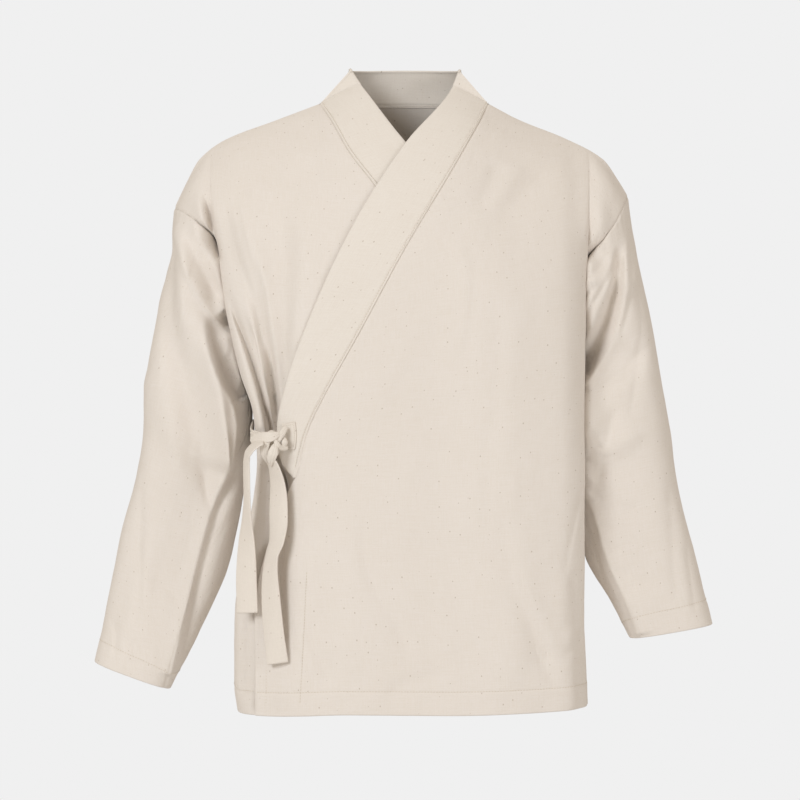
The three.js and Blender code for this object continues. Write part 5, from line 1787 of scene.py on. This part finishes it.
@dataclass
class HangingEnd:
    """A tie's free end: a band, turned, stitched and pressed, that hangs and turns a little."""

    node: str
    table: tuple
    cut: Cut
    width: float = 25.0
    wall: float = TIE_WALL
    bow: float = 1.6
    way: float = -1.0  # 1 turns its edge on the wearer's left away from the eye, -1 the other one
    seed: int = 5

    def grid(self) -> Array:
        """Rows down the band, columns across it: middle line plus the half width, turned."""
        fine, rows = smoothed(drawn_rows(self.table), 170)
        middle, shows = rows[:, :3], rows[:, 3:]
        along = unit(np.gradient(middle, axis=0))
        ahead = np.array([0.0, -1.0, 0.0])
        side = unit(np.cross(ahead, along))[:, None]
        ahead = unit(np.cross(along[:, None], side))
        across = np.minimum(shows / self.width, 0.999)[..., None]
        s = np.concatenate([[-1, -0.985, -0.95], np.linspace(-0.9, 0.9, 19), [0.95, 0.985, 1]])[None, :, None]
        half = self.width / 2
        away = -self.way * np.sqrt(1 - across**2)
        crest = self.bow * (1 - s**2) + 0.8 * np.sin(fine[:, None, None] / 17.0 + s * 1.4) * s**2
        sideways, forward = across * half * s - away * crest, away * half * s + across * crest
        return middle[:, None] + side * sideways + ahead * forward

    def build(self, wardrobe: Wardrobe) -> bpy.types.Object:
        """Args:
            wardrobe: the finishes.

        Returns:
            The band.
        """
        grid = self.grid()
        cloth = cloth_uv(grid, grid.shape[1] // 2, 0)
        normal = grid_normals(grid, flip=True)
        across = lengths_across(grid)
        from_edge = np.minimum(across, across[:, -1:] - across)
        out = seam_dip(from_edge - 2.4, 0.28, 0.7) + seam_dip(from_edge, 0.4, 0.8)
        out += 0.35 * soft_rumple(cloth, 1.4, self.seed) * smooth(from_edge, 0, 5)
        grid = grid + normal * out[..., None]
        piece = shell(grid, self.wall, cloth, flip=True).object(self.node + "_band", wardrobe.tie)
        declare(piece, Slot.TIE, self.node)
        self.cut.state(piece)
        return piece


@dataclass(frozen=True)
class Lap:
    """One pass of a tie's band through the knot: places on the drawing, y, and width in millimetres."""

    path: tuple
    bow: float = 1.6
    pleats: float = 0.22
    wall: float = 1.3

    def part(self, core: Array, seed: int) -> MeshParts:
        """The lap as a wall of cloth whose outer face looks away from the knot's core.

        Args:
            core: the knot's middle.
            seed: shifts the pleats.

        Returns:
            The lap's mesh.
        """
        fine, rows = smoothed(drawn_rows(self.path), 12 * len(self.path))
        middle, width = rows[:, :3], rows[:, 3:, None]
        along = unit(np.gradient(middle, axis=0))
        out = unit(middle - core) + np.array([0.0, -0.9, 0.0])
        side = unit(np.cross(out, along))[:, None]
        out = unit(np.cross(along[:, None], side))
        s = np.linspace(-1, 1, 25)[None, :, None]
        ridges = self.pleats * np.cos(3.2 * math.pi * s + 0.05 * fine[:, None, None] + seed) * (1 - s**2)
        crest = self.bow * np.sqrt(np.maximum(1 - s**2, 0.0)) + ridges
        grid = middle[:, None] + side * (0.5 * width * s) + out * crest
        return shell(grid, self.wall, cloth_uv(grid, 12, 0), flip=True)


def lump(middle: Sequence[float], radii: Sequence[float]) -> MeshParts:
    """A rounded lump of folded cloth: rings of an egg from its top to its foot.

    Args:
        middle: its middle.
        radii: half sizes in x, y and z.

    Returns:
        The lump's mesh.
    """
    down = np.linspace(0.06, math.pi - 0.06, 25)[:, None]
    turn = np.linspace(0, 2 * math.pi, 41)[None, :-1]
    ring = stack(np.sin(down) * np.cos(turn), np.sin(down) * np.sin(turn), np.cos(down) + 0 * turn)
    grid = np.asarray(middle, float) + ring * np.asarray(radii, float)
    closed = np.concatenate([grid, grid[:, :1]], axis=1)
    return shell(grid, 1.2, cloth_uv(closed, 20), flip=True, ring=True)


KNOT_CORE = (-154.5, -112.0, -408.0)
KNOT_LAPS = (
    Lap(((251.5, 440, -112, 8), (257, 437.5, -122, 11), (263.5, 437.4, -130, 13), (270, 437, -133, 12),
         (276, 435, -131, 8.5), (280.5, 433.4, -125, 6), (284, 432.6, -117, 5))),
    Lap(((268.5, 440.5, -130, 6), (265.3, 445, -131.5, 10), (264.4, 451.5, -129.5, 10.5),
         (266.6, 458, -125, 9), (269, 463, -117, 6))),
    Lap(((275.6, 444, -130, 4.5), (274.3, 448, -133.6, 9), (272.8, 453.5, -134.5, 11.5),
         (271.3, 459.5, -131, 10), (270.7, 465, -124, 4.5))),
    Lap(((274.8, 439.4, -131, 4), (277, 444.2, -132, 6), (281, 447.6, -127.5, 6.8), (287, 448.3, -121, 5.6))),
    Lap(((276.6, 444, -127, 4), (278.6, 439.4, -129, 6.8), (282.2, 433.2, -126, 7.2),
         (286, 427.6, -120.5, 6))),
    Lap(((284.2, 438.4, -123.5, 5), (284.6, 442.4, -126, 8), (284, 446.6, -123.5, 5)),
        bow=2.2, pleats=0.05),
)
SIDE_ROOT = (
    (-180.2, 2, -390, 10.5), (-180.2, -30, -392.5, 9.3), (-180.3, -58, -395.5, 8), (-179.3, -84, -397, 7.2),
    (-176.5, -103, -398, 6.5), (-170.5, -116, -399, 6), (-165, -122, -400, 5.5),
)
OVER_ROOT = (286.0, 298.6, 423.4, 449.4)  # the drawing's left, right, top and foot of the sewn root


def knot(wardrobe: Wardrobe) -> None:
    """The knot of the two ties, pulled into laps over its core."""
    core = np.array(KNOT_CORE)
    laps = [lap.part(core, seed) for seed, lap in enumerate(KNOT_LAPS)]
    piece = MeshParts.joined([*laps, lump(KNOT_CORE, (10.5, 12.0, 17.0))]).object("knot_laps", wardrobe.tie)
    declare(piece, Slot.TIE, "knot")
    Cut(0.025, 0.18, 0.0044, held=Held.FOLDED).state(piece)


def over_root(wardrobe: Wardrobe) -> None:
    """The over tie's end, sewn flat on the collar with a box of stitches."""
    left, right, top, foot = OVER_ROOT
    t, s = np.meshgrid(spread(30, (0.01, 0.025)), spread(20, (0.01, 0.03, 0.97, 0.99)), indexing="ij")
    swell = 1.2 * np.sin(math.pi * np.clip(t, 0, 1)) - 0.9
    across = lerp(left, right + swell, s)
    down = lerp(top + 1.6 - 2.6 * s, foot + 0 * s, t)
    places = drawn(np.stack([across.ravel(), down.ravel()], axis=-1), -118.0).reshape(*s.shape, 2)
    lie = over_lift(places[..., 0], places[..., 1]) + TIE_WALL + 0.6
    base = FORM.point(places[..., 0], places[..., 1], True, OVER_FOLDS, lie)
    wide, high = lengths_across(base), lengths_along(base)
    edge = np.minimum(np.minimum(wide[:, -1:] - wide, high), high[-1:] - high)
    relief = seam_dip(edge - 2.0, 0.5, 0.8) + seam_dip(edge, 0.4, 0.7)
    cloth = cloth_uv(base, 10, 0)
    normal = grid_normals(base, flip=True)
    grid = base + normal * (relief + 0.3 * soft_rumple(cloth, 1.0, 171))[..., None]
    piece = shell(grid, TIE_WALL, cloth, flip=True).object("tie_over_band", wardrobe.tie)
    declare(piece, Slot.TIE, "tie_over")
    rows, columns = np.argmin(np.abs(high[:, 10] - 2.0)), np.argmin(np.abs(wide[15, -1] - wide[15] - 2.0))
    foot_row = np.argmin(np.abs(high[-1, 10] - high[:, 10] - 2.0))
    box = [
        (grid[rows, 1 : columns + 1], normal[rows, 1 : columns + 1]),
        (grid[rows : foot_row + 1, columns], normal[rows : foot_row + 1, columns]),
        (grid[foot_row, 1 : columns + 1], normal[foot_row, 1 : columns + 1]),
    ]
    run = StitchRun(pitch=2.4, length=1.8, radius=0.26, proud=0.05)
    sewing = MeshParts.joined([run.along(*side) for side in box]).object("tie_over_stitches", wardrobe.thread)
    declare(sewing, Slot.TIE)
    Cut(0.02, 0.032, 0.00063, held=Held.STRETCHED).state(piece, [sewing])


def side_root(wardrobe: Wardrobe) -> None:
    """The side tie's band, from the side seam round the body to the knot."""
    fine, rows = smoothed(np.asarray(SIDE_ROOT, float), 120)
    x, y, z, half = (column[:, None] for column in rows.T)
    s = np.linspace(-1, 1, 25)[None, :]
    gathers = 0.7 * smooth(fine[:, None], 60, 110) * np.cos(3 * math.pi * s) * (1 - s**2)
    grid = stack(x, y, z - half * s)
    normal = grid_normals(grid, flip=True)
    grid = grid + normal * (gathers + 0.4 * (1 - s**2))[..., None]
    piece = shell(grid, TIE_WALL, cloth_uv(grid, 12, 0), flip=True).object("tie_side_band", wardrobe.tie)
    declare(piece, Slot.TIE, "tie_side")
    Cut(0.025, 0.135, 0.0029, held=Held.STRETCHED).state(piece)


# ---- studio ----
LIT_PLACE = (0.0, 0.0, -0.36)  # the jacket's middle, in metres


@dataclass(frozen=True)
class Studio:
    """A pale floor, soft light from the front and a level camera."""

    eye: tuple = (EYE_X * MM, -EYE_AWAY * MM, EYE_Z * MM)
    field_width: float = 0.96  # metres across the frame at the middle of the jacket
    floor_z: float = -1.15
    floor_radius: float = 2.4
    backdrop: float = 0.871
    surround: tuple = (1.0, 0.874, 0.722, 1.0)
    ambient: float = 0.455

    def camera(self) -> None:
        """The camera: a long lens, level with the jacket's middle."""
        lens = bpy.data.cameras.new("camera")
        lens.sensor_width = 36.0
        lens.lens = 36.0 * -self.eye[1] / self.field_width
        lens.clip_end = 50.0
        eye = bpy.data.objects.new("camera", lens)
        eye.location = self.eye
        eye.rotation_euler = (math.pi / 2, 0.0, 0.0)
        bpy.context.scene.collection.objects.link(eye)
        bpy.context.scene.camera = eye

    def softbox(self, name: str, place: tuple, size: float, power: float, colour: tuple) -> None:
        """An area light that faces the jacket's middle.

        Args:
            name: the light's name.
            place: where it stands, in metres.
            size: its diameter.
            power: in watts.
            colour: its colour.
        """
        lamp = bpy.data.lights.new(name, "AREA")
        lamp.shape, lamp.size, lamp.energy, lamp.color = "DISK", size, power, colour
        box = bpy.data.objects.new(name, lamp)
        box.location = place
        towards = Vector(LIT_PLACE) - Vector(place)
        box.rotation_euler = towards.to_track_quat("-Z", "Y").to_euler()
        bpy.context.scene.collection.objects.link(box)

    def lights(self) -> None:
        """Two softboxes in front, one weak one above, and an even surround."""
        self.softbox("key", (-2.05, -3.25, 0.8), 1.5, 71.0, (0.943, 0.972, 1.0))
        self.softbox("fill", (2.9, -2.6, 0.15), 2.0, 32.0, (0.96, 0.975, 1.0))
        self.softbox("top", (0.0, 0.4, 2.4), 1.8, 12.0, (1.0, 1.0, 1.0))
        world = bpy.data.worlds.new("surround")
        bpy.context.scene.world = world
        world.use_nodes = True
        tree = world.node_tree
        tree.nodes.clear()
        rays = tree.nodes.new("ShaderNodeLightPath")
        seen, cast = (tree.nodes.new("ShaderNodeBackground") for _ in range(2))
        seen.inputs[0].default_value = (self.backdrop,) * 3 + (1.0,)
        cast.inputs[0].default_value = self.surround
        cast.inputs[1].default_value = self.ambient
        mix, end = tree.nodes.new("ShaderNodeMixShader"), tree.nodes.new("ShaderNodeOutputWorld")
        tree.links.new(rays.outputs["Is Camera Ray"], mix.inputs[0])
        tree.links.new(cast.outputs[0], mix.inputs[1])
        tree.links.new(seen.outputs[0], mix.inputs[2])
        tree.links.new(mix.outputs[0], end.inputs[0])

    def floor(self) -> None:
        """A round floor below the jacket, slightly dished up at its rim."""
        rings, sides = 24, 96
        ring = np.linspace(0, 1, rings + 1)[:, None]
        turn = np.linspace(0, 2 * math.pi, sides + 1)[None, :-1]
        x, y = self.floor_radius * ring * np.cos(turn), self.floor_radius * ring * np.sin(turn)
        z = self.floor_z + 0.02 * ring**4 + 0 * turn
        points = stack(x, y, z).reshape(-1, 3)
        j, i = np.meshgrid(np.arange(rings), np.arange(sides), indexing="ij")
        near, far, after = j * sides, (j + 1) * sides, (i + 1) % sides
        faces = np.stack([near + i, far + i, far + after, near + after], axis=-1)
        mesh = bpy.data.meshes.new("floor")
        mesh.from_pydata(points.tolist(), [], faces.reshape(-1, 4).tolist())
        mesh.validate()
        mesh.materials.append(Paper().material())
        piece = bpy.data.objects.new("floor", mesh)
        bpy.context.scene.collection.objects.link(piece)

    def build(self) -> None:
        """Builds the studio."""
        self.camera()
        self.lights()
        self.floor()
        bpy.context.scene.view_settings.view_transform = "Standard"
        bpy.context.scene.view_settings.look = "None"


# ---- the juban ----
def main() -> None:
    """Builds the jacket piece by piece and reports each."""
    logging.basicConfig(level=logging.INFO, format="%(name)s: %(message)s")
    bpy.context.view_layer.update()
    Studio().build()
    wardrobe = Wardrobe()
    over = FrontPanel("front_over", Cut(0.46, 0.76, 0.2722), seed=21, creases=OVER_CREASES)
    under = FrontPanel(
        "front_under", Cut(0.46, 0.76, 0.2646), over=False, columns=UNDER_COLUMNS, seed=41,
        creases=UNDER_CREASES, closer=tuple((np.array(GATHERED) + 0.5) / (UNDER_COLUMNS * FINE)),
    )
    back = BackPanel("back", Cut(0.56, 0.76, 0.3904), seed=61)
    bound_panel(over, Slot.BODY, wardrobe.body, wardrobe, flip=True)
    bound_panel(under, Slot.BODY, wardrobe.body, wardrobe, flip=False)
    bound_panel(back, Slot.BODY, wardrobe.body, wardrobe, flip=True)
    left = SleevePanel("sleeve_left", Cut(0.4, 0.56, 0.1706), seed=81, creases=LEFT_SLEEVE_CREASES)
    right = SleevePanel(
        "sleeve_right", Cut(0.4, 0.6, 0.1922), seed=101, creases=RIGHT_SLEEVE_CREASES,
        side=RIGHT, rings=RIGHT_SLEEVE_RINGS, folds=RIGHT_SLEEVE_FOLDS,
    )
    bound_panel(left, Slot.BODY, wardrobe.body, wardrobe, flip=False, ring=True)
    bound_panel(right, Slot.BODY, wardrobe.body, wardrobe, flip=True, ring=True)
    collar = CollarBand("collar", Cut(0.064, 1.28, 0.0749), over=over, under=under, back=back, seed=121)
    bound_panel(collar, Slot.COLLAR, wardrobe.band, wardrobe, flip=True)
    HangingEnd("tail_over", OVER_TAIL, Cut(0.025, 0.25), seed=141).build(wardrobe)
    HangingEnd("tail_side", SIDE_TAIL, Cut(0.025, 0.23), seed=151).build(wardrobe)
    over_root(wardrobe)
    side_root(wardrobe)
    knot(wardrobe)


if __name__ == "__main__":
    main()
